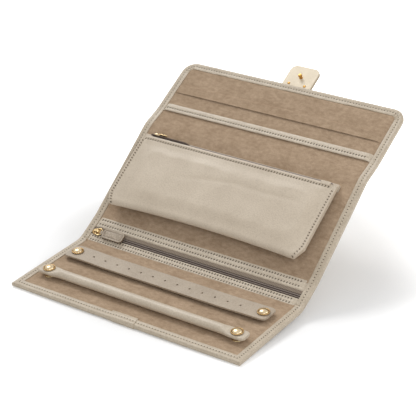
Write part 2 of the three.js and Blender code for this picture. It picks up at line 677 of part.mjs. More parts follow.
const pocketBottom = liningTop + seat;
const pocketTop = pocketBottom + pocket.suede;
const hemEnd = pocket.mouthFromCrease + pocket.hemWidth;
place(frames.flap, 'flap_lower_pocket',
  slab(rectangle(-stripHalf, creaseGap, stripHalf, hemEnd - seat), pocketBottom, pocketTop), 'suede');
const upperPocketShape = rectangle(-stripHalf, hemEnd, stripHalf, flapLength - pocket.fromFreeEdge);
place(frames.flap, 'flap_upper_pocket', slab(upperPocketShape, pocketBottom, pocketTop), 'suede');
place(frames.flap, 'flap_pocket_hem',
  slab(rectangle(-stripHalf, pocket.mouthFromCrease, stripHalf, hemEnd + seat), pocketTop + seat,
    pocketTop + seat + pocket.suede), 'suede');
place(frames.flap, 'flap_band',
  slab(rectangle(-stripHalf, creaseGap, stripHalf, creaseGap + band.width), pocketTop + seat,
    pocketTop + seat + band.leather), 'leather');

// Clasp

const plateTop = -panelThickness - seat;
const plateBottom = plateTop - plate.thickness;
const plateShape = rectangle(-plate.width / 2, flapLength - plate.underFlap, plate.width / 2,
  flapLength + plate.beyondEdge, plate.corner);
const pegY = flapLength + peg.beyondEdge;
const rivetY = flapLength + rivet.beyondEdge;
plateShape.holes.push(circleHole(0, pegY, peg.stem + seat));
const pegFoot = plateTop + seat;
const rivetProfile = [
  [0, plateBottom + seat], [rivet.radius, plateBottom + seat], [rivet.radius, plateTop + rivet.height / 2],
  [rivet.radius * rivet.shoulderShare, plateTop + rivet.height * rivet.shoulderHeightShare],
  [0, plateTop + rivet.height],
];
place(frames.flap, 'clasp_plate', joined(
  slab(plateShape, plateBottom, plateTop),
  ...Object.values(sides).map((sign) => turned(rivetProfile, coarse, sign * rivet.spread, rivetY)),
), 'paleGold');
const pegTop = plateTop + peg.length;
place(frames.flap, 'clasp_peg', turned([
  [0, plateBottom], [peg.stem, plateBottom], [peg.stem, pegFoot], [peg.neck, pegFoot],
  [peg.neck, pegFoot + peg.neckHeight], [peg.radius, pegFoot + peg.neckHeight + seat],
  [peg.radius, pegTop - seat], [peg.radius - seat, pegTop], [0, pegTop],
], medium, 0, pegY), 'gold');
const lockTop = coverBottom - seat;
const lockFace = -panelThickness - lock.proud;
place(frames.front, 'clasp_socket', turned([
  [0, lockTop], [0, lockFace + lock.boreDepth], [lock.bore, lockFace + lock.boreDepth],
  [lock.bore, lockFace], [lock.radius - lock.rim, lockFace], [lock.radius, lockFace + lock.rim],
  [lock.radius, lockTop], [0, lockTop],
], fine, 0, lockCentre), 'gold');

// The origin lies on the floor under the middle of the whole roll.
const model = new THREE.Group();
model.add(root);
model.updateMatrixWorld(true);
const size = new THREE.Box3().setFromObject(root, true);
root.position.set(-(size.min.x + size.max.x) / 2, -(size.min.y + size.max.y) / 2, -size.min.z);
model.updateMatrixWorld(true);

export default model;
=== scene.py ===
# %% [markdown]
# # A folding jewelry roll
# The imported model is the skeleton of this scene. It knows where each panel, zip and stud is, and
# how it moves. It could be painted as it is, but its solids are stiff and even. So everything that
# is soft or shiny is made again here around that skeleton, as leather, suede, thread and metal.

# %% Load the frame
import json
import math

import bmesh
import bpy
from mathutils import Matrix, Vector, noise
from mathutils.bvhtree import BVHTree


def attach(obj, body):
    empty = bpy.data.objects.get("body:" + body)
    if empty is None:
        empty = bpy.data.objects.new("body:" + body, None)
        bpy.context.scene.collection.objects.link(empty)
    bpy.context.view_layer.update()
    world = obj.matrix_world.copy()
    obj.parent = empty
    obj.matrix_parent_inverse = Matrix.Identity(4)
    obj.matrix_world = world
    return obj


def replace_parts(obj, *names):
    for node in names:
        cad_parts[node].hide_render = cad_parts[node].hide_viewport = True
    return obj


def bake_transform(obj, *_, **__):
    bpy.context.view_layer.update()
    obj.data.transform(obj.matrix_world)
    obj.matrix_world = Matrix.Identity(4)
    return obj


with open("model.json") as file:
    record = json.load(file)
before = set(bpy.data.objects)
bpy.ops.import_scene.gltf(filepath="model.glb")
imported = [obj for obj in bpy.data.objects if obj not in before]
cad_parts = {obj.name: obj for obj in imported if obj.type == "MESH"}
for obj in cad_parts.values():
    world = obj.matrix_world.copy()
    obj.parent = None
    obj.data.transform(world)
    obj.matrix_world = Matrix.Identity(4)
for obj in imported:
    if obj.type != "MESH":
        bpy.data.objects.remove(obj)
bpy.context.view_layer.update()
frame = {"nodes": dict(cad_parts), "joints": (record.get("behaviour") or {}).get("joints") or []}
MM = 0.001

# %% [markdown]
# ## Cut flat, then bent
# A leather worker cuts and sews a roll flat on the bench, and it bends only at its four creases.
# Each piece could be modelled in its raised place, but stitches and grain would be hard to lay on
# slopes. So each is modelled flat, in millimetres: x across the roll, s along it from the front
# edge, h above its face. One function then lays those flat places along the bent roll. Each crease
# is rounded with a short curve, because folded leather never turns at a sharp line.

# %% The roll's curve
CREASES = [94, 122, 225, 245]
ROLL_END = 307
HALF_WIDTH = 120
FLAP_BEND = math.radians(8.5)
CREASE_REACH = 5
joints = {joint["name"]: joint for joint in frame["joints"]}


def side_view(point):
    return Vector((point[1], point[2]))


folds = [side_view(joints[name]["pos_m"]) / MM
         for name in ("front_fold", "back_fold", "upper_fold", "flap_fold")]
headings = [side_view(joints["earring_strap_lift"]["axis"]).normalized()]
headings += [(b - a).normalized() for a, b in zip(folds, folds[1:])]
last_turn = math.atan2(headings[-1].y, headings[-1].x) + FLAP_BEND
headings.append(Vector((math.cos(last_turn), math.sin(last_turn))))


def line_at(s):
    """The roll's line seen from the side: its point and its heading at a distance s."""
    for crease, fold, before, after in zip(CREASES, folds, headings, headings[1:]):
        t = (s - crease + CREASE_REACH) / (2 * CREASE_REACH)
        if 0 < t < 1:
            a, b = fold - before * CREASE_REACH, fold + after * CREASE_REACH
            point = a * (1 - t) ** 2 + fold * 2 * t * (1 - t) + b * t ** 2
            return point, ((fold - a) * (1 - t) + (b - fold) * t).normalized()
    panel = sum(s >= crease for crease in CREASES)
    start = max(panel - 1, 0)
    return folds[start] + headings[panel] * (s - CREASES[start]), headings[panel]


def on_roll(x, s, h):
    point, heading = line_at(s)
    return Vector((x, point.x - heading.y * h, point.y + heading.x * h)) * MM


print("front edge at", on_roll(0, 0, 0), "free edge at", on_roll(0, ROLL_END, 0))

# %% [markdown]
# ## From a flat shape to a piece
# Leather parts are sheets and strips, and both could be pulled about by hand. Here a grid is
# stretched over a rule that says where each of its points goes, and a sweep carries one closed
# section past a row of stations, so that a measure can be changed later. Each piece keeps its flat
# places in an attribute called cut, and grain painted on them stays on the leather when it bends.

# %% A grid and a sweep
def grid(columns, rows, rule):
    """A sheet of squares. rule(u, v) places its points, u and v from 0 to 1."""
    bm = bmesh.new()
    bmesh.ops.create_grid(bm, x_segments=columns, y_segments=rows, size=0.5)
    for v in bm.verts:
        v.co = rule(v.co.x + 0.5, v.co.y + 0.5)
    return bm


def sweep(section, stations, at):
    """Carries a closed section along stations. at(station, point) gives the flat place."""
    columns, rows = len(stations) - 1, len(section)

    def rule(u, v):
        return at(stations[round(u * columns)], section[round(v * rows) % rows])

    bm = grid(columns, rows, rule)
    bmesh.ops.remove_doubles(bm, verts=bm.verts, dist=1e-5)
    bmesh.ops.holes_fill(bm, edges=rim_of(bm), sides=0)
    return bm


def rim_of(bm):
    return [edge for edge in bm.edges if edge.is_boundary]


def points_in(result):
    """The points among what a bmesh operator has made."""
    return [g for g in result["geom"] if isinstance(g, bmesh.types.BMVert)]


# %% A mesh becomes a piece
def make_piece(bm, name, place, material, sharp=40):
    """Lays a flat mesh in its place. Edges that turn by more than sharp degrees stay crisp."""
    bmesh.ops.recalc_face_normals(bm, faces=bm.faces)
    cut = bm.verts.layers.float_vector.new("cut")
    for v in bm.verts:
        v[cut] = v.co * MM
        v.co = place(*v.co)
    for edge in bm.edges:
        edge.smooth = not edge.is_manifold or edge.calc_face_angle() < math.radians(sharp)
    mesh = as_mesh(bm, name)
    for polygon in mesh.polygons:
        polygon.use_smooth = True
    mesh.materials.append(material)
    piece = bpy.data.objects.new(name, mesh)
    bpy.context.scene.collection.objects.link(piece)
    return piece


def as_mesh(bm, name):
    mesh = bpy.data.meshes.new(name)
    bm.to_mesh(mesh)
    bm.free()
    return mesh


def soften(piece, width, segments, angle):
    bevel = piece.modifiers.new("edges", "BEVEL")
    bevel.width = width * MM
    bevel.segments = segments
    bevel.limit_method = "ANGLE"
    bevel.angle_limit = math.radians(angle)


# %% How a piece is held
BLEND_REACH = 4


def hold_on(piece, hold):
    """hold is the body that a piece rides, a crease's number, which only fixes it in place, or a
    function.
    """
    if callable(hold):
        hold(piece)
    elif isinstance(hold, str):
        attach(piece, hold)
    else:
        s = CREASES[hold]
        on_roll(0, s - BLEND_REACH, 0)
        on_roll(0, s + BLEND_REACH, 0)
        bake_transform(piece)


def hang(bm, name, material, slot, hold, *nodes, place=on_roll, edge=0, segments=2, angle=30,
         sharp=40):
    """Makes a piece, softens its edges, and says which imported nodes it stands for."""
    piece = make_piece(bm, name, place, material, sharp)
    if nodes:
        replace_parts(piece, *nodes)
    if edge:
        soften(piece, edge, segments, angle)
    hold_on(piece, hold)
    return piece


print("a piece that crosses a crease is blended over", 2 * BLEND_REACH, "mm")

# %% [markdown]
# ## Finishes
# A finish is a tree of shader nodes, and the usual way to build one is by hand in the editor.
# Shader maths reads best as plain sums, though. So a small class wraps a socket, and an expression
# such as 1 - wear * 0.5 adds its own Math nodes. Every other node comes from one method.

# %% A class for shader maths
class Value:
    def __init__(self, tree, socket):
        self.tree, self.socket = tree, socket

    def maths(self, operation, *values):
        return self.tree.node("ShaderNodeMath", {"operation": operation}, *values)

    def __add__(self, other):
        return self.maths("ADD", self, other)

    def __sub__(self, other):
        return self.maths("SUBTRACT", self, other)

    def __rsub__(self, other):
        return self.maths("SUBTRACT", other, self)

    def __mul__(self, other):
        return self.maths("MULTIPLY", self, other)

    __radd__, __rmul__ = __add__, __mul__


# %% A class for node trees
class Tree:
    """The nodes of a material or of the world, around its one shader."""
    def __init__(self, tree, shader):
        self.nodes, self.links = tree.nodes, tree.links
        self.shader = self.nodes[shader]

    def node(self, kind, settings=None, *values, output=0, **named):
        """Adds a node with its settings, and fills its sockets by number or by name."""
        node = self.nodes.new(kind)
        for key, value in (settings or {}).items():
            setattr(node, key, value)
        for socket, value in [*enumerate(values), *named.items()]:
            if isinstance(socket, str):
                socket = socket.replace("_", " ")
            if isinstance(value, Value):
                self.links.new(value.socket, node.inputs[socket])
            elif value is not None:
                node.inputs[socket].default_value = value
        return Value(self, node.outputs[output])

    def feed(self, **links):
        """Links values to the shader's own sockets."""
        for socket, value in links.items():
            self.links.new(value.socket, self.shader.inputs[socket.replace("_", " ")])

    def fix(self, **fixed):
        """Sets constants on the shader's own sockets."""
        for socket, value in fixed.items():
            self.shader.inputs[socket.replace("_", " ")].default_value = value


# %% A class for finishes
class Finish(Tree):
    def __init__(self, name, **fixed):
        self.material = bpy.data.materials.new(name)
        self.material.use_nodes = True
        super().__init__(self.material.node_tree, "Principled BSDF")
        self.fix(**fixed)

    def done(self, **links):
        self.feed(**links)
        return self.material

    def place(self, on_cut):
        """The flat place of a piece before it was bent, or where it is now."""
        if on_cut:
            return self.node("ShaderNodeAttribute", {"attribute_name": "cut"}, output="Vector")
        return self.node("ShaderNodeTexCoord", output="Object")

    def cloud(self, place, per_metre, detail=3.0, roughness=0.55, distortion=0.0):
        return self.node("ShaderNodeTexNoise", None, Vector=place, Scale=per_metre, Detail=detail,
                         Roughness=roughness, Distortion=distortion, output="Fac")

    def sides(self, place, middle, half):
        """1 on the sides of a flat piece, 0 on its faces."""
        off = (self.node("ShaderNodeSeparateXYZ", None, place, output="Z") - middle) * (1 / half)
        return 1 - off * off

    def tint(self, share, low, high):
        """A colour between two others. A Mix node's colours are its sockets 6 and 7."""
        return self.node("ShaderNodeMix", {"data_type": "RGBA"}, share, *[None] * 5,
                         (*low, 1), (*high, 1), output=2)

    def bump(self, height, strength, distance):
        return self.node("ShaderNodeBump", None, Strength=strength, Distance=distance,
                         Height=height, output="Normal")


def srgb(r, g, b):
    """A colour as a picture shows it, turned into the shader's linear numbers."""
    return tuple(((c / 255 + 0.055) / 1.055) ** 2.4 if c > 10 else c / 255 / 12.92
                 for c in (r, g, b))


print("a middle grey in linear numbers:", [round(c, 3) for c in srgb(128, 128, 128)])

# %% [markdown]
# ### Leather
# The outer leather is a soft champagne taupe with a fine pebbled grain and a pearly surface. A
# photographed texture would do, but it repeats and brings its own light. A pebble is a rounded
# cell between thin valleys, which is what a smooth Voronoi pattern gives at any size. Slow clouds
# change the colour a little from place to place, as hide does.

# %% Leather finishes
def leather(name, light, dark, pebbles=620, strength=0.6, coat=0.12, sides=None):
    """sides: the middle and half of a piece's thickness, whose cut sides are painted darker."""
    f = Finish(name, Coat_Weight=coat, Coat_Roughness=0.35)
    place = f.place(True)
    hide = f.cloud(place, 42, detail=4.0)
    cells = f.node("ShaderNodeTexVoronoi", {"feature": "SMOOTH_F1"}, Vector=place, Scale=pebbles,
                   Smoothness=0.5, Randomness=0.9, output="Distance")
    grain = f.cloud(place, 2200, detail=2.0)
    height = 1 - cells * 1.4 + grain * 0.25
    # The colour darkens towards the valleys between pebbles, a painted shade of the grain.
    share = (hide - 0.5) * 0.85 + cells * 0.6 + (grain - 0.5) * 0.3 + 0.12
    if sides:
        share = share + f.sides(place, *sides)
    return f.done(Base_Color=f.tint(share, light, dark), Roughness=0.5 + hide * 0.12 - cells * 0.12,
                  Normal=f.bump(height, strength, 0.0003))


BINDING = leather("binding_leather", srgb(204, 190, 169), srgb(162, 147, 126))
COVER = leather("cover_leather", srgb(203, 189, 168), srgb(162, 147, 126), pebbles=560)
STRIP = leather("strip_leather", srgb(214, 201, 181), srgb(170, 154, 133))
STRAP = leather("strap_leather", srgb(184, 169, 149), srgb(148, 132, 113),
                pebbles=700, strength=0.5)
BAR = leather("bar_leather", srgb(207, 194, 174), srgb(172, 157, 137),
              pebbles=760, strength=0.25, coat=0.15)
POUCH = leather("pouch_leather", srgb(211, 197, 177), srgb(180, 165, 145),
                pebbles=900, strength=0.25, coat=0.06)
PULL = leather("pull_leather", srgb(192, 177, 156), srgb(108, 91, 73),
               strength=0.3, sides=(2.0 * MM, 1.1 * MM))
print("leathers made:", [m.name for m in bpy.data.materials if "leather" in m.name])

# %% [markdown]
# ### Suede
# The lining is suede: leather with its soft side out, dull and warm, and its nap lies in patches
# as if stroked. Hair could be grown on it, but the nap is shorter than a pixel. Three clouds of
# different sizes, drawn out a little across the roll, give its patches, its tufts and its fibres.

# %% Suede finish
def suede(name, light, dark):
    f = Finish(name, Specular_IOR_Level=0.1)
    place = f.place(True)
    stroked = f.node("ShaderNodeMapping", None, Vector=place, Scale=(0.65, 1.0, 1.0))
    patches = f.cloud(stroked, 70, detail=5.0, roughness=0.62, distortion=0.8)
    tufts = f.cloud(stroked, 330, detail=3.0, roughness=0.65)
    fibre = f.cloud(place, 1300, detail=2.0, roughness=0.7)
    nap = (patches - 0.5) * 1.25 + (tufts - 0.5) * 1.3 + (fibre - 0.5) * 0.8 + 0.5
    return f.done(Base_Color=f.tint(nap, dark, light), Roughness=0.9 + fibre * 0.1,
                  Normal=f.bump(fibre + tufts * 0.8, 0.5, 0.0003))


SUEDE = suede("suede_lining", srgb(190, 166, 141), srgb(150, 127, 103))
print("suede made:", SUEDE.name)

# %% [markdown]
# ### Thread, tape, coils and metal
# Thread, needle holes, boards and zip coils are small in the picture, and each could be one flat
# colour. A fine grain keeps them from looking like plastic close up. The needle holes and the bed
# under the zip's coils are dark brown, a painted shade of the hollows. The zip's tape is woven, so a
# turned wave pattern gives it slanting ribs. The metal is pale gold, and faint wear changes its
# colour and its gloss, because a perfect mirror looks like nothing real. On the caps the same clouds
# go dark brown, a painted dark reflection, and a darker gold on the rims and the slider's body is a
# painted dark reflection and shade.

# %% Thread, coils and tape
def plain_grain(name, light, dark, per_metre, roughness):
    f = Finish(name)
    grain = f.cloud(f.place(False), per_metre)
    return f.done(Base_Color=f.tint(grain, light, dark), Roughness=roughness + grain * 0.15,
                  Normal=f.bump(grain, 0.3, 0.0002))


def twill_tape(name, light, dark):
    """Woven tape with fine slanting ribs."""
    f = Finish(name, Specular_IOR_Level=0.2, Sheen_Weight=0.15)
    place = f.place(True)
    turned = f.node("ShaderNodeMapping", None, Vector=place, Rotation=(0, 0, math.radians(38)))
    ribs = f.node("ShaderNodeTexWave", {"bands_direction": "X"}, Vector=turned, Scale=220,
                  Distortion=0.6, Detail=1.0, Detail_Scale=3.0, output="Fac")
    slub = f.cloud(place, 700)
    return f.done(Base_Color=f.tint(ribs * 0.7 + slub * 0.3, dark, light),
                  Roughness=0.8 + slub * 0.1, Normal=f.bump(ribs, 0.7, 0.0003))


THREAD = plain_grain("thread", srgb(214, 203, 184), srgb(188, 175, 154), 2500, 0.6)
# The needle holes are dark brown, a painted shade of the holes; the pouch's are a paler painted
# shade.
SHADED_HOLE = plain_grain("shaded_needle_hole", srgb(92, 79, 67), srgb(66, 56, 46), 900, 0.85)
SOFT_SHADED_HOLE = plain_grain("soft_shaded_needle_hole", srgb(120, 105, 89), srgb(92, 79, 66), 900, 0.85)
BOARD = plain_grain("board", srgb(150, 136, 118), srgb(118, 106, 92), 600, 0.85)
TAPE = twill_tape("zip_tape", srgb(164, 149, 132), srgb(112, 98, 85))
GREY_TAPE = plain_grain("grey_tape", srgb(176, 163, 155), srgb(146, 132, 126), 1600, 0.8)
# The coils' bed and the tape below them are dark brown, a painted shade between and under the coils.
SHADED_TAPE = plain_grain("shaded_coil_bed", srgb(84, 70, 62), srgb(58, 48, 43), 1400, 0.8)
COIL = plain_grain("zip_coil", srgb(168, 154, 144), srgb(128, 114, 105), 1500, 0.4)
DARK_COIL = plain_grain("dark_coil", srgb(104, 88, 78), srgb(62, 50, 43), 1500, 0.4)
print("tapes made:", [m.name for m in (TAPE, GREY_TAPE, SHADED_TAPE)])


# %% Metals
def metal(name, light, dark, roughness, metallic=1.0, sides=None):
    """sides: the middle and half of a plate's thickness, whose cut sides are darker."""
    f = Finish(name, Metallic=metallic)
    place = f.place(sides is not None)
    wear_and_reflection = f.cloud(place, 160, detail=4.0)
    fine = f.cloud(place, 1800, detail=2.0)
    share = wear_and_reflection * 0.3 + f.sides(place, *sides) if sides else wear_and_reflection
    return f.done(Base_Color=f.tint(share, light, dark), Roughness=roughness + wear_and_reflection * 0.1,
                  Normal=f.bump(fine, 0.05, 0.0001))


# The caps' gold clouds from pale to dark brown, a painted dark reflection as well as wear.
CAP_GOLD = metal("cap_gold", srgb(238, 222, 190), srgb(160, 130, 86), 0.18)
GOLD = metal("polished_gold", srgb(240, 218, 172), srgb(206, 176, 122), 0.2)
# A darker copy of the gold: a painted dark reflection on the caps' rims, a painted shade on the
# slider's body.
SHADED_GOLD = metal("shaded_gold", srgb(192, 162, 116), srgb(138, 110, 72), 0.3)
WARM_GOLD = metal("warm_gold", srgb(216, 170, 98), srgb(158, 112, 50), 0.3)
PALE_GOLD = metal("pale_gold", srgb(226, 214, 192), srgb(148, 130, 104), 0.5, metallic=0.2,
                  sides=(-6.05 * MM, 1.75 * MM))
print("metals made:", [m.name for m in bpy.data.materials if "gold" in m.name])

# %% [markdown]
# ## Stitches
# A stitch is a short bar of thread that sinks into the leather, and the awl leaves a slit
# between two stitches. Each slit is coloured dark brown, a painted shade of the hole. They could
# be a bump in the leather's finish, but the photograph shows them standing up. One stitch and one
# slit are modelled, with few faces, and both are copied along a row.

# %% Copies of a small shape
def copies(proto, places):
    """One mesh of many copies: each place is a function that moves a copy's points."""
    bm = bmesh.new()
    for place in places:
        known = len(bm.verts)
        bm.from_mesh(proto)
        bm.verts.ensure_lookup_table()
        for v in bm.verts[known:]:
            v.co = place(v.co)
    return bm


def squarer(value, power):
    """Pushes a number between -1 and 1 outwards, which turns round shapes into squarer ones."""
    return math.copysign(abs(value) ** power, value) if abs(value) > 1e-6 else 0


def rounded_bar(length, width, height, segments=8):
    """A small sausage of a few dozen faces, centred on its middle."""
    bm = bmesh.new()
    bmesh.ops.create_uvsphere(bm, u_segments=segments, v_segments=6, radius=0.5)
    for v in bm.verts:
        x, y, z = v.co.z, v.co.x, v.co.y
        v.co = Vector((squarer(2 * x, 0.45) / 2 * length, y * width, z * height))
    return bm


# %% Places along a row
def along(line, pitch, shift):
    """Evenly spaced places on a line of (x, s) points, each with the line's direction there."""
    reach = [0]
    for a, b in zip(line, line[1:]):
        reach.append(reach[-1] + math.dist(a, b))
    count = max(round(reach[-1] / pitch), 1)
    out, k = [], 0
    for n in range(count):
        wanted = reach[-1] * (n + shift) / count
        while reach[k + 1] < wanted:
            k += 1
        (x0, s0), (x1, s1) = line[k], line[k + 1]
        t = (wanted - reach[k]) / (reach[k + 1] - reach[k])
        out.append((x0 + (x1 - x0) * t, s0 + (s1 - s0) * t, math.atan2(s1 - s0, x1 - x0)))
    return out


def laid(x, s, height, turn, longer):
    """Moves a copy's points to a place, turned, lengthened, and onto a face of a height(x, s)."""
    c, q, wider = math.cos(turn), math.sin(turn), 1 + 0.35 * (longer - 1)

    def place(co):
        at_x = x + co.x * longer * c - co.y * wider * q
        at_s = s + co.x * longer * q + co.y * wider * c
        return Vector((at_x, at_s, height(at_x, at_s) + co.z))
    return place


# %% Sewing
STITCH_PITCH = 2.9
STITCH_SLANT, SLIT_SLANT = math.radians(12), math.radians(74)
stitch_mesh = as_mesh(rounded_bar(2.0, 0.75, 0.66, 6), "stitch")
slit_mesh = as_mesh(rounded_bar(1.0, 0.75, 0.36, 6), "awl_slit")


def sew(name, lines, levels, hold, place=on_roll, slot="grain_leather", slit=1.3, follow=False,
        hole_shade=SHADED_HOLE):
    """Rows of stitches on lines of (x, s). levels(x, s) are the heights of the faces they show on.

    slit makes the slits longer. With follow, their ends run up the leather beside the row, so that
    long ones are not buried in it.
    """
    # The slits are coloured dark, a painted shade of the awl's holes.
    for what, proto, shift, slant, length, material in (
            ("stitches", stitch_mesh, 0.5, STITCH_SLANT, 1, THREAD),
            ("awl_slits", slit_mesh, 0.02, SLIT_SLANT, slit, hole_shade)):
        places = []
        for x, s, turn in [spot for line in lines for spot in along(line, STITCH_PITCH, shift)]:
            for k, h in enumerate(levels(x, s)):
                if follow and proto is slit_mesh:
                    height = lambda a, b, k=k: levels(a, b)[k]
                else:
                    height = lambda a, b, h=h: h
                places.append(laid(x, s, height, turn + slant, length))
        hang(copies(proto, places), f"{what}_{name}", material, slot, hold, place=place)
    print(name, "sewn with", len(places), "stitches")


print("a stitch has", len(stitch_mesh.polygons), "faces")

# %% [markdown]
# ## Binding
# A folded tape of leather grips the open edges of all panels, and one row of stitches runs along
# its middle. A bevelled tube would be quicker, but it would show no lips and no dip at the
# stitches. So a section is swept along the edge: a C, rolled at the outer edge, pillowed on both
# sides of the stitches. At the square corners it is mitred, and at the flap's round corners it
# gathers in small pleats.

# %% Binding section
BINDING_WIDTH = 8
THICKNESS = 4
STITCH_LINE = 4.4
LIP = 0.9


def smoothstep(low, high, x):
    """0 below low, 1 above high, and a soft slope between them."""
    t = min(max((x - low) / (high - low), 0), 1)
    return t * t * (3 - 2 * t)


def crown(a):
    """Height of the binding's face, a across it from the outer edge."""
    if a < STITCH_LINE:
        return -0.12 + 0.3 * math.sin(math.pi * smoothstep(0, STITCH_LINE, a) ** 0.8)
    inner = BINDING_WIDTH + 0.6 - STITCH_LINE
    return -0.12 + 0.28 * math.sin(math.pi * (a - STITCH_LINE) / inner)


FACE = [1.2, 1.9, 2.6, 3.3, 3.9, STITCH_LINE, 4.9, 5.6, 6.4, 7.2, 7.8]
EDGE_ARC = [(0.55, -0.18), (0.18, -0.55), (0.02, -1.1), (0, -2), (0.02, -2.9), (0.18, -3.45),
            (0.55, -3.82)]
binding_section = [(a, crown(a)) for a in reversed(FACE)] + EDGE_ARC
binding_section += [(a, -THICKNESS - crown(a)) for a in FACE]
binding_section += [(BINDING_WIDTH, -3.6), (BINDING_WIDTH - 0.2, -THICKNESS + LIP),
                    (1.3, -THICKNESS + LIP), (1.3, -LIP), (BINDING_WIDTH - 0.2, -LIP),
                    (BINDING_WIDTH, -0.4)]
print("binding section of", len(binding_section), "points")

# %% Puckers
CORNER = 13
PUCKERS = list(zip(CREASES, (0.5, 0.25, 0.1, 0.25)))
PLEATS = 15


def dip(distance, reach):
    """1 at a line and fading to 0 on both sides of it."""
    return math.exp(-(distance / reach) ** 2)


def lump(x, y, size, seed=0):
    """A slow random height between about -1 and 1."""
    return noise.noise(Vector((x / size, y / size, seed)))


def past_corner(x, s):
    """A place seen from the middle of the flap's round corner. In its arc both numbers are > 0."""
    return Vector((abs(x) - (HALF_WIDTH - CORNER), s - (ROLL_END - CORNER)))


def pucker(x, s, a):
    """Leather bunches where it folds, most at its inner edge."""
    share = min(max(a / BINDING_WIDTH, 0), 1)
    height = 0.16 * lump(x, s, 9, 3)
    for crease, depth in PUCKERS:
        height += depth * dip(s - crease, 4.5) * math.cos((s - crease) * 1.7) * (0.35 + share)
    corner = past_corner(x, s)
    if corner.x > 0 and corner.y > 0:
        angle = math.atan2(corner.y, corner.x)
        height += 0.6 * math.cos(angle * PLEATS) * share ** 1.5 * math.sin(2 * angle) ** 0.5
    return height


def at_edge(station, point):
    """A station is a place on the outline and the direction inwards from it."""
    x, s, nx, ns = station
    a, h = point
    fx, fs = x + a * nx, s + a * ns
    lift = pucker(fx, fs, a) * min(max(h + 1, 0), 1) if h > -1.5 else 0
    return Vector((fx, fs, h + lift))


print("puckers at", [crease for crease, depth in PUCKERS], "mm")

# %% Stations round the outline
MITRE = 12
SPINE_MIDDLE, BACK_MIDDLE, UPPER_MIDDLE = 108, 173, 235


def steps(start, end, pitch):
    """Even numbers from start to end, about a pitch apart."""
    count = max(round(abs(end - start) / pitch), 1)
    return [start + (end - start) * k / count for k in range(count + 1)]


def side_stations(sign, low, high):
    return [(sign * HALF_WIDTH, s, -sign, 0) for s in steps(low, high, 1.5)]


def edge_stations(s, inward, end):
    return [(x, s, 0, inward) for x in steps(end, -end, 1.6)]


def square_corner(sign):
    """Stations that turn from the right or left side into the front edge."""
    fan = [k / 6 for k in range(6)]
    side = [(sign * HALF_WIDTH, MITRE * t, -sign, 1 - t) for t in reversed(fan)]
    front = [(sign * (HALF_WIDTH - MITRE * t), 0, -sign * (1 - t), 1) for t in fan[1:]]
    return side + front


def round_corner(sign, radius, pitch):
    """Stations round one of the flap's corners, on an arc of any radius about its middle."""
    out = []
    for angle in steps(0, math.pi / 2, pitch):
        nx, ns = -sign * math.cos(angle), -math.sin(angle)
        out.append((sign * (HALF_WIDTH - CORNER) - radius * nx,
                    ROLL_END - CORNER - radius * ns, nx, ns))
    return out


front_stations = (side_stations(1, SPINE_MIDDLE, MITRE) + square_corner(1)
                  + edge_stations(0, 1, HALF_WIDTH - MITRE)
                  + square_corner(-1)[::-1] + side_stations(-1, MITRE, SPINE_MIDDLE))
turns = [round_corner(sign, CORNER, math.pi / 60) for sign in (1, -1)]
flap_stations = (side_stations(1, UPPER_MIDDLE, ROLL_END - CORNER)[:-1] + turns[0]
                 + edge_stations(ROLL_END, -1, HALF_WIDTH - CORNER)[1:-1] + turns[1][::-1]
                 + side_stations(-1, ROLL_END - CORNER, UPPER_MIDDLE)[1:])
print("stations round the front and the flap:", len(front_stations), len(flap_stations))

# %% Sew the binding on
SIDES = (("left", -1), ("right", 1))
bindings = [("front", front_stations, 0,
             ["front_edge_binding", "front_left_binding", "front_right_binding"]),
            ("flap", flap_stations, 3,
             ["flap_end_binding", "flap_left_binding", "flap_right_binding",
              "upper_spine_left_binding", "upper_spine_right_binding"])]
for side, sign in SIDES:
    bindings += [(f"lower_{side}", side_stations(sign, SPINE_MIDDLE, BACK_MIDDLE), 1,
                  [f"zip_spine_{side}_binding", f"back_{side}_binding"]),
                 (f"upper_{side}", side_stations(sign, BACK_MIDDLE, UPPER_MIDDLE), 2, [])]
for name, stations, crease, nodes in bindings:
    hang(sweep(binding_section, stations, at_edge), f"binding_{name}", BINDING, "grain_leather",
         crease, *nodes)
    print("binding", name, "stands for", nodes)

# %% [markdown]
# The tape's two ends overlap on the front edge. A shallow step in the binding could show that, but
# its end would not cast the fine shadow it does. So it is swept as a sleeve of its own: the upper
# end is cut a little askew, stands a bit past the tape under it, and thins out towards the left.

# %% Overlap of the tape
LAP_LEFT, LAP_RIGHT, LAP_REACH, LAP_LEATHER, LAP_THIN = -15, 14, 9.8, 0.6, 0.1
LAP_ASKEW = 0.22


def lap_thickness(x):
    return LAP_THIN + (LAP_LEATHER - LAP_THIN) * smoothstep(LAP_LEFT, LAP_LEFT + 9, x)


def away_from(h):
    """The direction outwards from the binding's rolled edge, at a height."""
    if h > -0.5:
        return -0.7, 0.7
    return (-1, 0) if h > -3.3 else (-0.7, -0.7)


# Each point of the sleeve's section: a place, and the way it goes outwards by the thickness.
lap_section = [((LAP_REACH, -0.35), (0, 0)), ((LAP_REACH, -0.1), (0, 0.75)),
               ((LAP_REACH - 0.4, -0.05), (0, 1))]
lap_section += [((a, crown(a)), (0, 1)) for a in reversed(FACE)]
lap_section += [((a, h), away_from(h)) for a, h in EDGE_ARC]
lap_section += [((a, -THICKNESS - crown(a)), (0, -1)) for a in FACE]
lap_section += [((LAP_REACH - 0.4, -3.95), (0, -1)), ((LAP_REACH, -3.9), (0, -0.75))]
lap_section += [(inner, (0, 0)) for inner in ((LAP_REACH, -3.65), (7.4, -3.8), (0.9, -3.5),
                                              (0.35, -2), (0.9, -0.5), (7.4, -0.2))]


def at_lap(x, point):
    (a, h), (out_a, out_h) = point
    thick = lap_thickness(x)
    askew = x - LAP_ASKEW * a * (x - LAP_LEFT) / (LAP_RIGHT - LAP_LEFT)
    lift = pucker(x, a, a) * min(max(h + 1, 0), 1)
    return Vector((askew, a + out_a * thick, h + out_h * thick + lift))


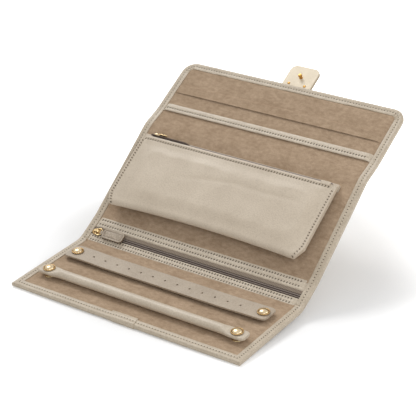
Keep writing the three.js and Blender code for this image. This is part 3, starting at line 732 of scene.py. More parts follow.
hang(sweep(lap_section, steps(LAP_RIGHT, LAP_LEFT, 1.2), at_lap), "binding_lap", BINDING,
     "grain_leather", "front_panel", edge=0.12, angle=50)
print("the overlap is", LAP_RIGHT - LAP_LEFT, "mm long")

# %% [markdown]
# ### Stitches of the binding
# One row of thread holds the binding all round, through all layers, so it shows on both faces. It
# could be one long piece, but a body has to carry each length of it when the roll folds. So each
# length of binding gets its own row, held with the same crease number.

# %% Stitches of the binding
ROW_X = HALF_WIDTH - STITCH_LINE


def binding_levels(x, s):
    top = crown(STITCH_LINE) + pucker(x, s, STITCH_LINE) + 0.02
    lap = lap_thickness(x) if LAP_LEFT < x < LAP_RIGHT - 1 and s < BINDING_WIDTH + 1 else 0
    return top + lap, -THICKNESS - crown(STITCH_LINE) - lap


def round_row(sign):
    return [(x, s) for x, s, *_ in round_corner(sign, CORNER - STITCH_LINE, math.pi / 16)]


front_row = [(ROW_X, SPINE_MIDDLE), (ROW_X, STITCH_LINE), (-ROW_X, STITCH_LINE),
             (-ROW_X, SPINE_MIDDLE)]
flap_row = ([(ROW_X, UPPER_MIDDLE)] + round_row(1) + round_row(-1)[::-1]
            + [(-ROW_X, UPPER_MIDDLE)])
lower_rows, upper_rows = [[[(sign * ROW_X, low), (sign * ROW_X, high)] for _, sign in SIDES]
                          for low, high in ((SPINE_MIDDLE, BACK_MIDDLE),
                                            (BACK_MIDDLE, UPPER_MIDDLE))]
for name, rows, crease in (("front", [front_row], 0), ("flap", [flap_row], 3),
                           ("lower", lower_rows, 1), ("upper", upper_rows, 2)):
    sew(name, rows, binding_levels, crease)

# %% [markdown]
# ## Lining and cover
# The suede lining lies inside the binding, and its edges go under the binding's lip. The outer
# leather does the same on the other side. Cloth could be draped over the boards, but both are glued
# down, so a sheet that is thickened does as well. Each runs over several panels, and the lining
# leaves the zip's opening free. So each is cut into lengths that meet in the middle of a panel,
# where nothing bends.

# %% A skin
TUCK, TUCK_START, TUCK_END = 1.6, BINDING_WIDTH - 0.6, BINDING_WIDTH + 1.4
SKIN_ACROSS, SKIN_STEP = 96, 2.5
SKIN_INSET = BINDING_WIDTH - TUCK


def inset_of(x, s):
    """How far inside the outline a place is."""
    corner = past_corner(x, s)
    if corner.x > 0 and corner.y > 0:
        return CORNER - corner.length
    return min(HALF_WIDTH - abs(x), s, ROLL_END - s)


def keep_inside(x, s, inset):
    """Pulls a place back to the rounded corner of the flap."""
    corner = past_corner(x, s)
    if corner.x > 0 and corner.y > 0 and corner.length > CORNER - inset:
        corner = corner.normalized() * (CORNER - inset)
        return math.copysign(corner.x + HALF_WIDTH - CORNER, x), corner.y + ROLL_END - CORNER
    return x, s


def skin(low, high, face, back, tuck_face):
    """A sheet from low to high, face and back are its two levels, tucked at its edges."""
    def rule(u, v):
        x = (2 * u - 1) * (HALF_WIDTH - SKIN_INSET)
        x, s = keep_inside(x, low + v * (high - low), SKIN_INSET)
        tucked = 1 - smoothstep(TUCK_START, TUCK_END, inset_of(x, s))
        swell = 0.1 * lump(x, s, 22, 5) + 0.05 * lump(x, s, 9, 8)
        return Vector((x, s, face + swell + tucked * (tuck_face - face)))

    bm = grid(SKIN_ACROSS, max(round((high - low) / SKIN_STEP), 2), rule)
    bmesh.ops.solidify(bm, geom=bm.faces[:], thickness=face - back)
    return bm


# %% Lay the skins
UNDER_BINDING = -0.95
LINING_LEVELS, COVER_LEVELS = (-0.25, -0.8, UNDER_BINDING), (-3.85, -3.25, -3.0)
ZIP_OPENING = (96, 119)
linings = [("lining_front", SKIN_INSET, ZIP_OPENING[0], 0, ["front_suede"]),
           ("lining_back_low", ZIP_OPENING[1], BACK_MIDDLE, 1, []),
           ("lining_back_high", BACK_MIDDLE, UPPER_MIDDLE, 2, ["back_suede", "upper_spine_suede"]),
           ("lining_flap", UPPER_MIDDLE, ROLL_END - SKIN_INSET, 3, ["flap_suede"])]
covers = [("cover_front", SKIN_INSET, SPINE_MIDDLE, 0, ["front_cover"]),
          ("cover_spine", SPINE_MIDDLE, BACK_MIDDLE, 1, ["zip_spine_cover"]),
          ("cover_back", BACK_MIDDLE, UPPER_MIDDLE, 2, ["back_cover", "upper_spine_cover"]),
          ("cover_flap", UPPER_MIDDLE, ROLL_END - SKIN_INSET, 3, ["flap_cover"])]
for lengths, levels, material, slot in ((linings, LINING_LEVELS, SUEDE, "suede_lining"),
                                        (covers, COVER_LEVELS, COVER, "grain_leather")):
    for name, low, high, crease, nodes in lengths:
        piece = hang(skin(low, high, *levels), name, material, slot, crease, *nodes)
        2 * (HALF_WIDTH - SKIN_INSET) * MM
        (high - low) * MM
        print(name, "is", round(high - low, 1), "mm long")

# %% [markdown]
# ## Strips and tapes of the zip pocket
# A strip of leather is sewn on each side of the zip on the lower spine, with its tape between
# them, and one more lies across the flap. Each could be a plain bevelled bar, but real leather
# dips at its stitches and swells between them. So one long section with those dips is carried
# across the roll, and its ends are tucked under the binding.

# %% A strip across the roll
STRIP_HALF, STRIP_STEP, END_TUCK, ROW_INSET = 112.6, 2.5, 3.5, 4
STRIP_DIP, SIDE_BULGE, FOOT_INSET, THREAD_LIFT = 0.22, 0.08, 0.1, 0.04


def pillow(t, rows):
    """Bulge of leather between its edges and its rows of stitches, t from 0 to 1 across it."""
    marks = [0, *rows, 1]
    for a, b in zip(marks, marks[1:]):
        if a <= t <= b:
            return math.sin(math.pi * (t - a) / (b - a)) ** 0.7
    return 0


def strip_section(low, high, bottom, top, puff, rows):
    """Closed section of a strip of leather: rounded edges, and a face that dips at its stitches."""
    middle = (top + bottom) / 2
    face = [(low + (high - low) * t, top + puff * pillow(t, rows) - STRIP_DIP * (t in (0, 1)))
            for t in [k / 20 for k in range(21)]]
    return face + [(high + SIDE_BULGE, middle), (high - FOOT_INSET, bottom),
                   (low + FOOT_INSET, bottom), (low - SIDE_BULGE, middle)]


def waver(x, s):
    return 0.06 * lump(x, s, 12, 4)


def across(x, point):
    """Places a section's (s, h) at x, and tucks the strip's ends under the binding."""
    s, h = point
    tucked = smoothstep(STRIP_HALF - END_TUCK, STRIP_HALF, abs(x))
    return Vector((x, s, h + waver(x, s) + tucked * min(UNDER_BINDING - h, 0)))


def cross_strip(name, span, levels, puff, material, slot, hold, nodes, rows):
    (low, high), (bottom, top), end = span, levels, STRIP_HALF - ROW_INSET
    bm = sweep(strip_section(low, high, bottom, top, puff, rows),
               steps(-STRIP_HALF, STRIP_HALF, STRIP_STEP), across)
    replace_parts(hang(bm, name, material, slot, hold), *nodes)
    if rows:
        lines = [[(side * end, low + (high - low) * t) for side in (-1, 1)] for t in rows]
        sew(name, lines, lambda x, s: [top + puff * pillow((s - low) / (high - low), rows)
                                       + THREAD_LIFT + waver(x, s)],
            hold, slit=2.0, follow=True)


# %% Strips and tapes
SPINE_AT, FLAP_AT = CREASES[0], CREASES[3]
ZIP_MIDDLE = SPINE_AT + 10.9
LEATHER_STRIP, TAPE_LEVELS = (STRIP, "grain_leather"), (-1.75, -1.35)
for strip in (
        ("zip_strip_low", (SPINE_AT + 0.6, SPINE_AT + 8.5), (-0.9, -0.2), 0.3,
         *LEATHER_STRIP, 0, ["zip_lower_strip"], (0.25, 0.75)),
        ("zip_strip_high", (SPINE_AT + 16.6, SPINE_AT + 27.4), (-0.9, -0.2), 0.35,
         *LEATHER_STRIP, 1, ["zip_upper_strip"], (0.3, 0.75)),
        # The lower tape and the bed under the coils are dark, a painted shade beside and under the
        # coils.
        ("zip_tape_low", (ZIP_MIDDLE - 4, ZIP_MIDDLE - 0.2), TAPE_LEVELS, 0,
         SHADED_TAPE, "zip_tape", "zip_spine", ["zip_lower_tape"], ()),
        ("zip_tape_bed", (ZIP_MIDDLE + 0.2, ZIP_MIDDLE + 3), TAPE_LEVELS, 0,
         SHADED_TAPE, "zip_tape", "zip_spine", [], ()),
        ("zip_tape_high", (ZIP_MIDDLE + 2.3, SPINE_AT + 20), (-1.3, -0.75), 0.12,
         TAPE, "zip_tape", "zip_spine", ["zip_upper_tape"], ()),
        ("flap_band_leather", (FLAP_AT + 0.4, FLAP_AT + 8.6), (0.75, 1.25), 0.35,
         *LEATHER_STRIP, 3, ["flap_band"], (0.4,))):
    cross_strip(*strip)
print("strips and tapes laid, the zip's middle is at", ZIP_MIDDLE)

# %% [markdown]
# ## Slip pockets of the flap
# A sheet of suede covers the lower part of the flap, and a second one lies over its upper edge
# with its mouth standing open a little, which shows as a dark line across the flap. A simulation
# could let the mouth sag, but a short rule for its height gives the same gape every time.

# %% Flap pockets
POCKET_LOW, MOUTH_AT, LOW_END, HEM_END, POCKET_END = 0.4, 22.8, 27, 33.2, 54.6
LOWER_LEVEL, SHEET_LEVEL, FOOT_SINK, POCKET_THICK = 0.5, 0.55, 1.5, 0.4
GAPE, GAPE_LENGTH, HEM_RISE, HEM_DIP = 0.55, 2.2, 0.7, 0.12


def pocket_sheet(low, high, rows, level):
    """A suede sheet across the flap. low, high and level(x, t) measure from the flap's crease."""
    def rule(u, v):
        x, t = (2 * u - 1) * STRIP_HALF, low + v * (high - low)
        tucked = smoothstep(STRIP_HALF - 4, STRIP_HALF, abs(x))
        h = level(x, t) + 0.07 * lump(x, FLAP_AT + t, 18, 6)
        return Vector((x, FLAP_AT + t, h + tucked * (UNDER_BINDING - h)))

    bm = grid(90, rows, rule)
    bmesh.ops.solidify(bm, geom=bm.faces[:], thickness=POCKET_THICK)
    return bm


def upper_level(x, t):
    """Gaping mouth, hem, soft step down to the sheet, then under the binding."""
    gape = GAPE * math.exp((MOUTH_AT - t) / GAPE_LENGTH) * (1 - (x / STRIP_HALF) ** 4)
    hem = HEM_RISE * (1 - smoothstep(HEM_END - 1, HEM_END, t))
    hem += HEM_DIP * dip(t - HEM_END + 2, 1.2)
    return SHEET_LEVEL + gape + hem - FOOT_SINK * smoothstep(POCKET_END - 2, POCKET_END, t)


for name, low, high, rows, level, hold, nodes in (
        ("flap_pocket_low", POCKET_LOW, LOW_END, 14, lambda x, t: LOWER_LEVEL, 3,
         ["flap_lower_pocket"]),
        ("flap_pocket_high", MOUTH_AT, POCKET_END, 60, upper_level, "flap",
         ["flap_upper_pocket", "flap_pocket_hem"])):
    piece = hang(pocket_sheet(low, high, rows, level), name, SUEDE, "suede_lining", hold, *nodes)
    (high - low) * MM
    print(name, "is", round(high - low, 1), "mm from its mouth to its foot")

# %% [markdown]
# ## Zip coils
# The zip's teeth are two rows of small loops that lock past each other. A coil could be one long
# curve, but loops with few faces are lighter. Each loop is a short bent bar, and the upper row is
# shifted by half a step so that the two rows lock.

# %% Zip coils
LOOP_PITCH, CHAIN_HALF, CHAIN_LEVEL = 1.3, 111.7, -0.6
LOOP_SIZE, LOOP_LEAN, LOOP_SPREAD, ROW_OFFSET = (1.2, 1.15, 1.0), 0.25, 0.9, 0.95
loop_mesh = as_mesh(rounded_bar(*LOOP_SIZE), "zip_loop")
for row, sign, node in (("low", -1, "zip_lower_teeth"), ("high", 1, "zip_upper_teeth")):
    shift = 0 if sign < 0 else LOOP_PITCH / 2
    places = [lambda co, x=x: Vector((
                  x + shift + co.y + co.x * LOOP_LEAN * sign,
                  ZIP_MIDDLE + sign * ROW_OFFSET + co.x * LOOP_SPREAD, CHAIN_LEVEL + co.z))
              for x in steps(-CHAIN_HALF + 1, CHAIN_HALF - 1, LOOP_PITCH)]
    hang(copies(loop_mesh, places), f"zip_coil_{row}", COIL, "zip_teeth", "zip_spine", node)
    print("zip coil", row, "has", len(places), "loops")

# %% [markdown]
# ## Slider, ring and pull
# The slider is a cast metal plate with a bridge, and its leather pull hangs on a wire ring. They
# could be boxes at this size, but their outlines show. So flat parts start as a drawn outline that
# is extruded, the ring is a small circle spun round, and the pull's face is inset to leave a rim.

# %% Flat plates
def plate_from(outline, low, high):
    """A flat plate with a given outline, between two levels."""
    bm = bmesh.new()
    face = bm.faces.new([bm.verts.new((x, y, low)) for x, y in outline])
    top = bmesh.ops.extrude_face_region(bm, geom=[face])
    bmesh.ops.translate(bm, vec=(0, 0, high - low), verts=points_in(top))
    return bm


def arc(x, y, radius, start, end, count=6):
    """Points round a middle, from one angle in degrees to another."""
    return [(x + radius * math.cos(math.radians(a)), y + radius * math.sin(math.radians(a)))
            for a in steps(start, end, (end - start) / count)]


def rounded_box(x0, y0, x1, y1, corner, count=6):
    middles = ((x1 - corner, y0 + corner), (x1 - corner, y1 - corner),
               (x0 + corner, y1 - corner), (x0 + corner, y0 + corner))
    return [point for k, (x, y) in enumerate(middles)
            for point in arc(x, y, corner, 90 * k - 90, 90 * k, count)]


# %% Turned parts
def spin_round(bm, segments):
    """Spins all that a mesh has so far once round the upright axis."""
    bmesh.ops.spin(bm, geom=bm.verts[:] + bm.edges[:], cent=(0, 0, 0), axis=(0, 0, 1),
                   angle=math.tau, steps=segments, use_merge=True)
    bmesh.ops.remove_doubles(bm, verts=bm.verts, dist=1e-5)


def chain_of(bm, points):
    """A row of points joined by edges."""
    verts = [bm.verts.new(point) for point in points]
    return [bm.edges.new(pair) for pair in zip(verts, verts[1:])]


def spun(profile, x, y, segments=40):
    """Turns a profile of (radius, height) points about an upright line at x, y."""
    bm = bmesh.new()
    chain_of(bm, [(r, 0, z) for r, z in profile])
    spin_round(bm, segments)
    bmesh.ops.translate(bm, vec=(x, y, 0), verts=bm.verts)
    return bm


def ring_shape(x, y, z, radius, wire, segments=36):
    bm = bmesh.new()
    bmesh.ops.create_circle(bm, segments=10, radius=wire)
    for v in bm.verts:
        v.co = Vector((radius + v.co.x, 0, v.co.y))
    spin_round(bm, segments)
    bmesh.ops.translate(bm, vec=(x, y, z), verts=bm.verts)
    return bm


# %% Slider
SLIDER_X, BODY_LEVELS = -106.7, (0.3, 1.35)
BRIDGE_WIDTH, BRIDGE_THICK = 1.8, 0.5
half_body = [(-4.25, 1.1), (-3.2, 2.4), (-1.2, 3.2), (3.4, 3.3), (4.25, 2.6)]
body_outline = [(x, -y) for x, y in half_body] + half_body[::-1]
# The slider's body is the darker gold, a painted shade under the ring.
hang(plate_from([(SLIDER_X + x, ZIP_MIDDLE + y) for x, y in body_outline], *BODY_LEVELS),
     "slider_body", SHADED_GOLD, "gold_metal", "zip_slider", "zip_slider", edge=0.4, segments=3)


def bridge_shape():
    """A flat bar bent into an arch over the slider."""
    half_path = [(-2.7, 1.0), (-2.55, 2.2), (-1.9, 3.0), (-0.8, 3.3)]
    path = half_path + [(-x, z) for x, z in half_path[::-1]]
    bm = bmesh.new()
    edges = chain_of(bm, [(SLIDER_X + x, ZIP_MIDDLE - BRIDGE_WIDTH / 2, z) for x, z in path])
    swept = bmesh.ops.extrude_edge_only(bm, edges=edges)
    bmesh.ops.translate(bm, vec=(0, BRIDGE_WIDTH, 0), verts=points_in(swept))
    bmesh.ops.recalc_face_normals(bm, faces=bm.faces)
    bmesh.ops.solidify(bm, geom=bm.faces[:], thickness=BRIDGE_THICK)
    return bm


hang(bridge_shape(), "slider_bridge", GOLD, "gold_metal", "zip_slider", edge=0.12)
print("slider at", SLIDER_X)

# %% Ring and pull
RING_X, RING_LEVEL, RING_RADIUS, RING_WIRE = -103.3, 2.0, 3.4, 0.45
PULL_LEFT, PULL_RIGHT, PULL_HALF, PULL_THICK, PULL_CORNER = -98.2, -75.4, 5, 1.1, 2.6
NECK_X, NECK_LIFT, NECK_RADIUS, NECK_WIRE = -99.9, 0.15, 1.45, 0.35
NECK_WIDER, NECK_FLATTER = 4.8, 0.5
hang(ring_shape(RING_X, ZIP_MIDDLE, RING_LEVEL, RING_RADIUS, RING_WIRE), "pull_ring", GOLD,
     "gold_metal", "zip_pull_ring", "zip_pull_ring")
pull_outline = rounded_box(PULL_LEFT, ZIP_MIDDLE - PULL_HALF, PULL_RIGHT, ZIP_MIDDLE + PULL_HALF,
                           PULL_CORNER)
pull_bm = plate_from(pull_outline, RING_LEVEL - PULL_THICK, RING_LEVEL + PULL_THICK)
pull_bm.faces.ensure_lookup_table()
pull_top = max(pull_bm.faces, key=lambda f: f.calc_center_median().z)
for inward, sink in ((1.5, 0.0), (0.35, -0.35), (0.5, 0.35)):
    bmesh.ops.inset_region(pull_bm, faces=[pull_top], thickness=inward, depth=sink,
                           use_even_offset=True)
hang(pull_bm, "pull_tab_leather", PULL, "strap_leather", "zip_pull_tab", "zip_pull_tab", edge=0.3,
     segments=3)
neck_bm = ring_shape(0, 0, 0, NECK_RADIUS, NECK_WIRE, 20)
for v in neck_bm.verts:
    v.co = Vector((NECK_X + v.co.x, ZIP_MIDDLE + v.co.z * NECK_WIDER,
                   RING_LEVEL + NECK_LIFT + v.co.y * NECK_FLATTER))
hang(neck_bm, "pull_tab_neck", STRAP, "strap_leather", "zip_pull_tab")
print("the pull is", round(PULL_RIGHT - PULL_LEFT, 1), "mm long")

# %% [markdown]
# ## Press studs and their caps
# A domed cap with a rim holds each end of the strap and of the ring bar, and a flat lower stud
# under it is riveted to the lining. A scaled ball would give a dome but no rim. Round metal parts
# are turned from a profile instead, just as they are on a lathe.

# %% Studs and caps
STUD_X = 99.3
STRAP_S, BAR_S = 66.8, 27.5
STRAP_BOTTOM, STRAP_TOP, BAR_TOP = 3.1, 4.7, 6.6
CAP_GAP = 0.3
DOME_RADIUS, DOME_HEIGHT, DOME_LIFT, RIM_RADIUS, RIM_HALF = 4.35, 2.0, 0.5, 5.15, 0.5


def cap_profile(under):
    """The inside of the cap, its post, and the dome over both."""
    dome = [(DOME_RADIUS * math.cos(math.radians(a)),
             under + DOME_LIFT + DOME_HEIGHT * math.sin(math.radians(a)))
            for a in (0, 10, 20, 32, 45, 58, 70, 82)]
    return [(0, 1.9), (2.7, 1.9), (2.7, 1.0), (4.3, 1.0), (4.3, 2.8), (1.2, 2.8), (1.2, under),
            (DOME_RADIUS, under), *dome, (0, under + DOME_LIFT + DOME_HEIGHT)]


def rim_profile(under):
    """A turned ring round the dome, with a rounded lip and a groove inside it."""
    lip = arc(RIM_RADIUS, under + 0.55, RIM_HALF, -90, 180, 9)
    return [(4.2, under + 0.03), *lip, (4.5, under + 0.2), (4.2, under + 0.2),
            (4.2, under + 0.03)]


STUD_PROFILE = [(0, 0.1), (4.3, 0.1), (4.5, 0.3), (4.4, 0.6), (4.1, 0.7), (1.7, 0.7), (1.7, 1.9),
                (1.3, 2.2), (0, 2.2)]
# The rims are a darker gold than the domes, a painted dark reflection.
for side, sign in SIDES:
    for kind, s, top, lifting in (("strap", STRAP_S, STRAP_TOP, "earring_strap"),
                                  ("bar", BAR_S, BAR_TOP, "ring_bar")):
        body = "front_panel" if side == "left" else lifting
        for profile, name, material, rides, nodes in (
                (cap_profile(top + CAP_GAP), f"{kind}_cap_{side}", CAP_GOLD, body,
                 [f"{kind}_snap_{side}"]),
                (rim_profile(top + CAP_GAP), f"{kind}_cap_rim_{side}", SHADED_GOLD, body, []),
                (STUD_PROFILE, f"{kind}_stud_base_{side}", GOLD, "front_panel",
                 [f"{kind}_stud_{side}"])):
            hang(spun(profile, sign * STUD_X, s), name, material, "gold_metal", rides, *nodes)
print("caps are", 2 * (RIM_RADIUS + RIM_HALF), "mm across their rims")

# %% [markdown]
# ## Strap with holes
# A strip of leather with thirteen small holes. Holes could be cut with a Boolean, which leaves
# long thin faces. Here its outline and holes are filled as one face, cut across at many places so
# that it can bend, and then given its thickness.

# %% Strap outline
FLEX_LINE = -92.8
STRAP_LEFT, STRAP_RIGHT, STRAP_HALF = -108, 106, 10
RIGHT_CORNER, LEFT_CORNER, TOP_CORNER = 5.5, 4.5, 3


def strap_outline():
    """A long tab whose lower corners are rounder than its upper ones."""
    foot, head = STRAP_S - STRAP_HALF, STRAP_S + STRAP_HALF
    return (arc(STRAP_RIGHT - RIGHT_CORNER, foot + RIGHT_CORNER, RIGHT_CORNER, -90, 0, 8)
            + arc(STRAP_RIGHT - TOP_CORNER, head - TOP_CORNER, TOP_CORNER, 0, 90)
            + arc(STRAP_LEFT + TOP_CORNER, head - TOP_CORNER, TOP_CORNER, 90, 180)
            + arc(STRAP_LEFT + LEFT_CORNER, foot + LEFT_CORNER, LEFT_CORNER, 180, 270, 8))


# %% Strap
FIRST_HOLE, LAST_HOLE, HOLE_COUNT, HOLE_RADIUS = -STUD_X + 18.4, STUD_X - 23, 13, 1.05
POST_HOLE, CUT_REACH, CUT_STEP = 1.5, 104, 2.6
MIDDLE_SAG, END_SAG, STRAP_WAVER = 0.7, 0.9, 0.12


def strap_shape():
    """Outline and holes are filled, cut across at even steps, made thick, and sagged."""
    bm = bmesh.new()
    hole_step = (LAST_HOLE - FIRST_HOLE) / (HOLE_COUNT - 1)
    holes = [(x, HOLE_RADIUS) for x in steps(FIRST_HOLE, LAST_HOLE, hole_step)]
    holes += [(-STUD_X, POST_HOLE), (STUD_X, POST_HOLE)]
    for loop in [strap_outline()] + [arc(x, STRAP_S, r, 0, 360, 12)[:-1] for x, r in holes]:
        verts = [bm.verts.new((x, y, STRAP_BOTTOM)) for x, y in loop]
        for k in range(len(verts)):
            bm.edges.new((verts[k - 1], verts[k]))
    bmesh.ops.remove_doubles(bm, verts=bm.verts, dist=1e-4)
    bmesh.ops.triangle_fill(bm, edges=bm.edges[:], use_beauty=True)
    bmesh.ops.recalc_face_normals(bm, faces=bm.faces)
    for x in steps(-CUT_REACH, CUT_REACH, CUT_STEP):
        bmesh.ops.bisect_plane(bm, geom=bm.verts[:] + bm.edges[:] + bm.faces[:],
                               plane_co=(x, 0, 0), plane_no=(1, 0, 0), dist=1e-4)
    region = bmesh.ops.extrude_face_region(bm, geom=bm.faces[:])
    bmesh.ops.translate(bm, vec=(0, 0, STRAP_TOP - STRAP_BOTTOM), verts=points_in(region))
    for v in bm.verts:
        out = abs(v.co.x)
        sag = MIDDLE_SAG * (1 - smoothstep(60, 92, out)) + END_SAG * smoothstep(102, 108, out)
        v.co.z += STRAP_WAVER * lump(v.co.x, 0, 30, 2) - sag
    return bm


def lifts(body):
    """Fixes a piece where it lies."""
    return lambda piece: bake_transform(piece, "front_panel", body,
                                  start=on_roll(FLEX_LINE - 3, STRAP_S, STRAP_TOP),
                                  end=on_roll(FLEX_LINE + 3, STRAP_S, STRAP_TOP))


hang(strap_shape(), "strap_leather_strip", STRAP, "strap_leather", lifts("earring_strap"),
     "earring_strap", "earring_strap_fastened_end", edge=0.3, angle=50)
print("strap made,", STRAP_RIGHT - STRAP_LEFT, "mm long")

# %% [markdown]
# ## Ring bar
# A padded roll of leather that rings are pushed onto, flattened into a thick tab at each end. A
# cylinder and two boxes would show a hard change between them. So one section is swept along it
# and turns from a circle into a flat rounded bar, and it creases a little where it flattens.

# %% Bar
BAR_END, ROLL_PART = 108.5, 84.5
BAR_LEVEL = (STRAP_BOTTOM + BAR_TOP) / 2
ROLL_REACH, TAB_REACH = 4.8, 6.5
ROLL_HEIGHT, TAB_HEIGHT = 3.9, 1.75
CHANGE_LENGTH, TAB_SQUARENESS = 11, 0.55
END_THIN, END_NARROW, END_ROUND = 0.16, 0.3, 4
WRINKLE, BAR_WAVER, BAR_STEP = 0.2, 0.1, 1.75


def bar_at(x, angle):
    out = abs(x)
    share = smoothstep(ROLL_PART, ROLL_PART + CHANGE_LENGTH, out)
    squareness = 1 - share * TAB_SQUARENESS
    reach = ROLL_REACH + share * (TAB_REACH - ROLL_REACH)
    height = ROLL_HEIGHT + share * (TAB_HEIGHT - ROLL_HEIGHT)
    thinner = 1 - END_THIN * smoothstep(BAR_END - 1.6, BAR_END, out) ** 2
    narrower = 1 - END_NARROW * max(0, (out - BAR_END + END_ROUND) / END_ROUND) ** 3
    c, q = math.cos(angle), math.sin(angle)
    wrinkle = WRINKLE * dip(out - ROLL_PART - 4, 5) * math.cos(3 * angle + out * 0.9)
    z = squarer(q, squareness) * height * thinner + wrinkle * max(q, 0)
    return Vector((x, BAR_S + squarer(c, squareness) * reach * narrower,
                   BAR_LEVEL + z + BAR_WAVER * lump(x, angle * 3, 14, 1)))


BAR_POINTS = 28
bar_section = [k * math.tau / BAR_POINTS for k in range(BAR_POINTS)]
bar_piece = hang(sweep(bar_section, steps(-BAR_END, BAR_END, BAR_STEP), bar_at),
                 "ring_bar_leather", BAR, "strap_leather", lifts("ring_bar"), "ring_bar",
                 "ring_bar_fastened_end", edge=0.5, segments=3, angle=50)
print("bar made,", 2 * BAR_END, "mm long and", 2 * ROLL_HEIGHT, "mm thick")

# %% [markdown]
# ## Zipped pouch
# The pouch is a small leather bag, sewn shut on three sides and zipped along its upper edge. It
# lies on the back panel a little raised. It could be laid along the roll's curve like the rest,
# but it swings as one, so it has a flat frame of its own: x across, y up the slope with 0 at its
# upper edge, h above the back panel.

# %% Pouch frame
POUCH_AT = Vector((-5, 39.6448, 83.5499))
POUCH_SLOPE = math.radians(35.8109)
POUCH_HALF, POUCH_LENGTH = 105, 80
CHAMFER_X, CHAMFER_Y = 5, 11
BOTTOM_RISE = 3
MOUTH = -3
SIDE_SEAM, TOP_SEAM = 2.5, 3.4
EDGE_LEVEL, FOLD_LEVEL = 5.1, 2.6


def on_pouch(x, y, h):
    c, q = math.cos(POUCH_SLOPE), math.sin(POUCH_SLOPE)
    return Vector((POUCH_AT.x + x, POUCH_AT.y + y * c - h * q, POUCH_AT.z + y * q + h * c)) * MM


def pouch_bottom(x):
    """The lower edge rises a little towards its middle."""
    share = min(abs(x) / (POUCH_HALF - CHAMFER_X), 1)
    return -POUCH_LENGTH + BOTTOM_RISE * (1 - share ** 2)


def chamfer_in(y):
    """How much narrower the pouch is at its cut lower corners."""
    return CHAMFER_X * (1 - min(max((y + POUCH_LENGTH) / CHAMFER_Y, 0), 1))


def from_side(x, y):
    """Distance inside the left or right edge and its chamfer."""
    side = POUCH_HALF - abs(x)
    slant = side * CHAMFER_Y + (y + POUCH_LENGTH) * CHAMFER_X - CHAMFER_X * CHAMFER_Y
    return min(side, slant / math.hypot(CHAMFER_X, CHAMFER_Y))


print("pouch's lower edge at", on_pouch(0, pouch_bottom(0), 0))

# %% [markdown]
# ### Swelling of the pouch
# The front leather is held flat by its seams, and swells from there like a pillow. Its lower edge
# is a fold, so it has no stitches. A faint crease runs across its right half, where it was bent
# once. This could be sculpted by hand; written as a sum of small rules, it can be measured.

# %% The front leather's own height
CREASE_PATH = [(-70, -42), (-20, -33), (14, -28.5), (42, -30), (67, -29), (90, -29)]
CREASE_DEPTH, CREASE_WIDTH, CREASE_RIDGE = 0.3, 2.4, 0.4
SWELL, HEAD_SWELL, MOUTH_SINK, FOLD_ROUND = 1.4, 0.2, 0.8, 3.5
SIDE_HUMP, TOP_HUMP, SIDE_GROOVE, TOP_GROOVE = 0.45, 0.3, 0.25, 0.16


def crease_depth(x, y):
    """A groove along the path, with a soft ridge above it."""
    for (x0, y0), (x1, y1) in zip(CREASE_PATH, CREASE_PATH[1:]):
        if x0 <= x <= x1:
            off = y - y0 - (y1 - y0) * (x - x0) / (x1 - x0)
            fade = smoothstep(-70, 0, x) * (1 - smoothstep(60, 90, x))
            return CREASE_DEPTH * fade * (dip(off, CREASE_WIDTH) - CREASE_RIDGE * dip(off - 6, 5))
    return 0


def hump(distance, width):
    """A round bulge between an edge and its seam."""
    return math.sin(math.pi * min(max(distance / width, 0), 1))


def front_level(x, y):
    side, top, foot = from_side(x, y), MOUTH - y, y - pouch_bottom(x)
    share = min(max(foot / (MOUTH + POUCH_LENGTH), 0), 1)
    swollen = SWELL * smoothstep(0, 16, foot) + HEAD_SWELL * share
    swollen -= MOUTH_SINK * smoothstep(12, 0, top)
    level = EDGE_LEVEL + swollen * smoothstep(SIDE_SEAM, 14, side)
    level += (SIDE_HUMP * hump(side, SIDE_SEAM)
              + TOP_HUMP * hump(top, TOP_SEAM) * smoothstep(3, 8, side))
    level -= TOP_GROOVE * dip(top - TOP_SEAM, 0.9) * smoothstep(2, 6, side)
    level -= SIDE_GROOVE * dip(side - SIDE_SEAM, 0.7)
    level += (FOLD_LEVEL - level) * max(0, 1 - foot / FOLD_ROUND) ** 2
    bent = 0.6 * dip(x - 91, 10) * dip(y + 13, 6) - crease_depth(x, y)
    folds = 0.35 * lump(x * 0.6, y, 30, 9) + 0.1 * lump(x, y, 14, 7)
    return level + (bent + folds) * smoothstep(4, 12, min(side, top + 2, foot + 2))


print("height in the middle by rule:", round(front_level(0, -POUCH_LENGTH / 2), 2), "mm")

# %% [markdown]
# Swollen leather takes its shape from the air and the seams that hold it, so it is worth
# simulating. A closed pillow with the pouch's front is remeshed, pinned along its seams, and blown
# up as cloth with a little spare length, which gives the soft dents a formula would not. Only its
# heights are kept, and no point may rise or sink by more than a cap.

# %% A pillow to blow up
VOXEL, PRESSURE, SPARE, LAST_FRAME = 4 * MM, 4.0, -0.008, 20
CAP, SMOOTHINGS = 1.0, 12
UNDER_LEATHER, PILLOW_FLOOR, PILLOW_GRID = 0.5, -7, (70, 26)
SIDE_IN, TOP_IN, FOOT_IN = 2, 1, 1.5


def pillow_piece():
    def rule(u, v):
        x = (2 * u - 1) * (POUCH_HALF - SIDE_IN)
        low = pouch_bottom(x) + FOOT_IN
        y = low + v * (MOUTH - TOP_IN - low)
        narrower = 1 - chamfer_in(y) / POUCH_HALF
        return Vector((x * narrower, y, front_level(x, y) - UNDER_LEATHER))

    bm = grid(*PILLOW_GRID, rule)
    for v in points_in(bmesh.ops.extrude_edge_only(bm, edges=rim_of(bm))):
        v.co.z = PILLOW_FLOOR
    bmesh.ops.holes_fill(bm, edges=rim_of(bm), sides=0)
    return make_piece(bm, "pillow", lambda x, y, z: Vector((x, y, z)) * MM, POUCH)


# %% Blow the pouch up as cloth
PIN_FROM, PIN_TO = 2.5, 6


def settled(piece):
    return piece.evaluated_get(bpy.context.evaluated_depsgraph_get())


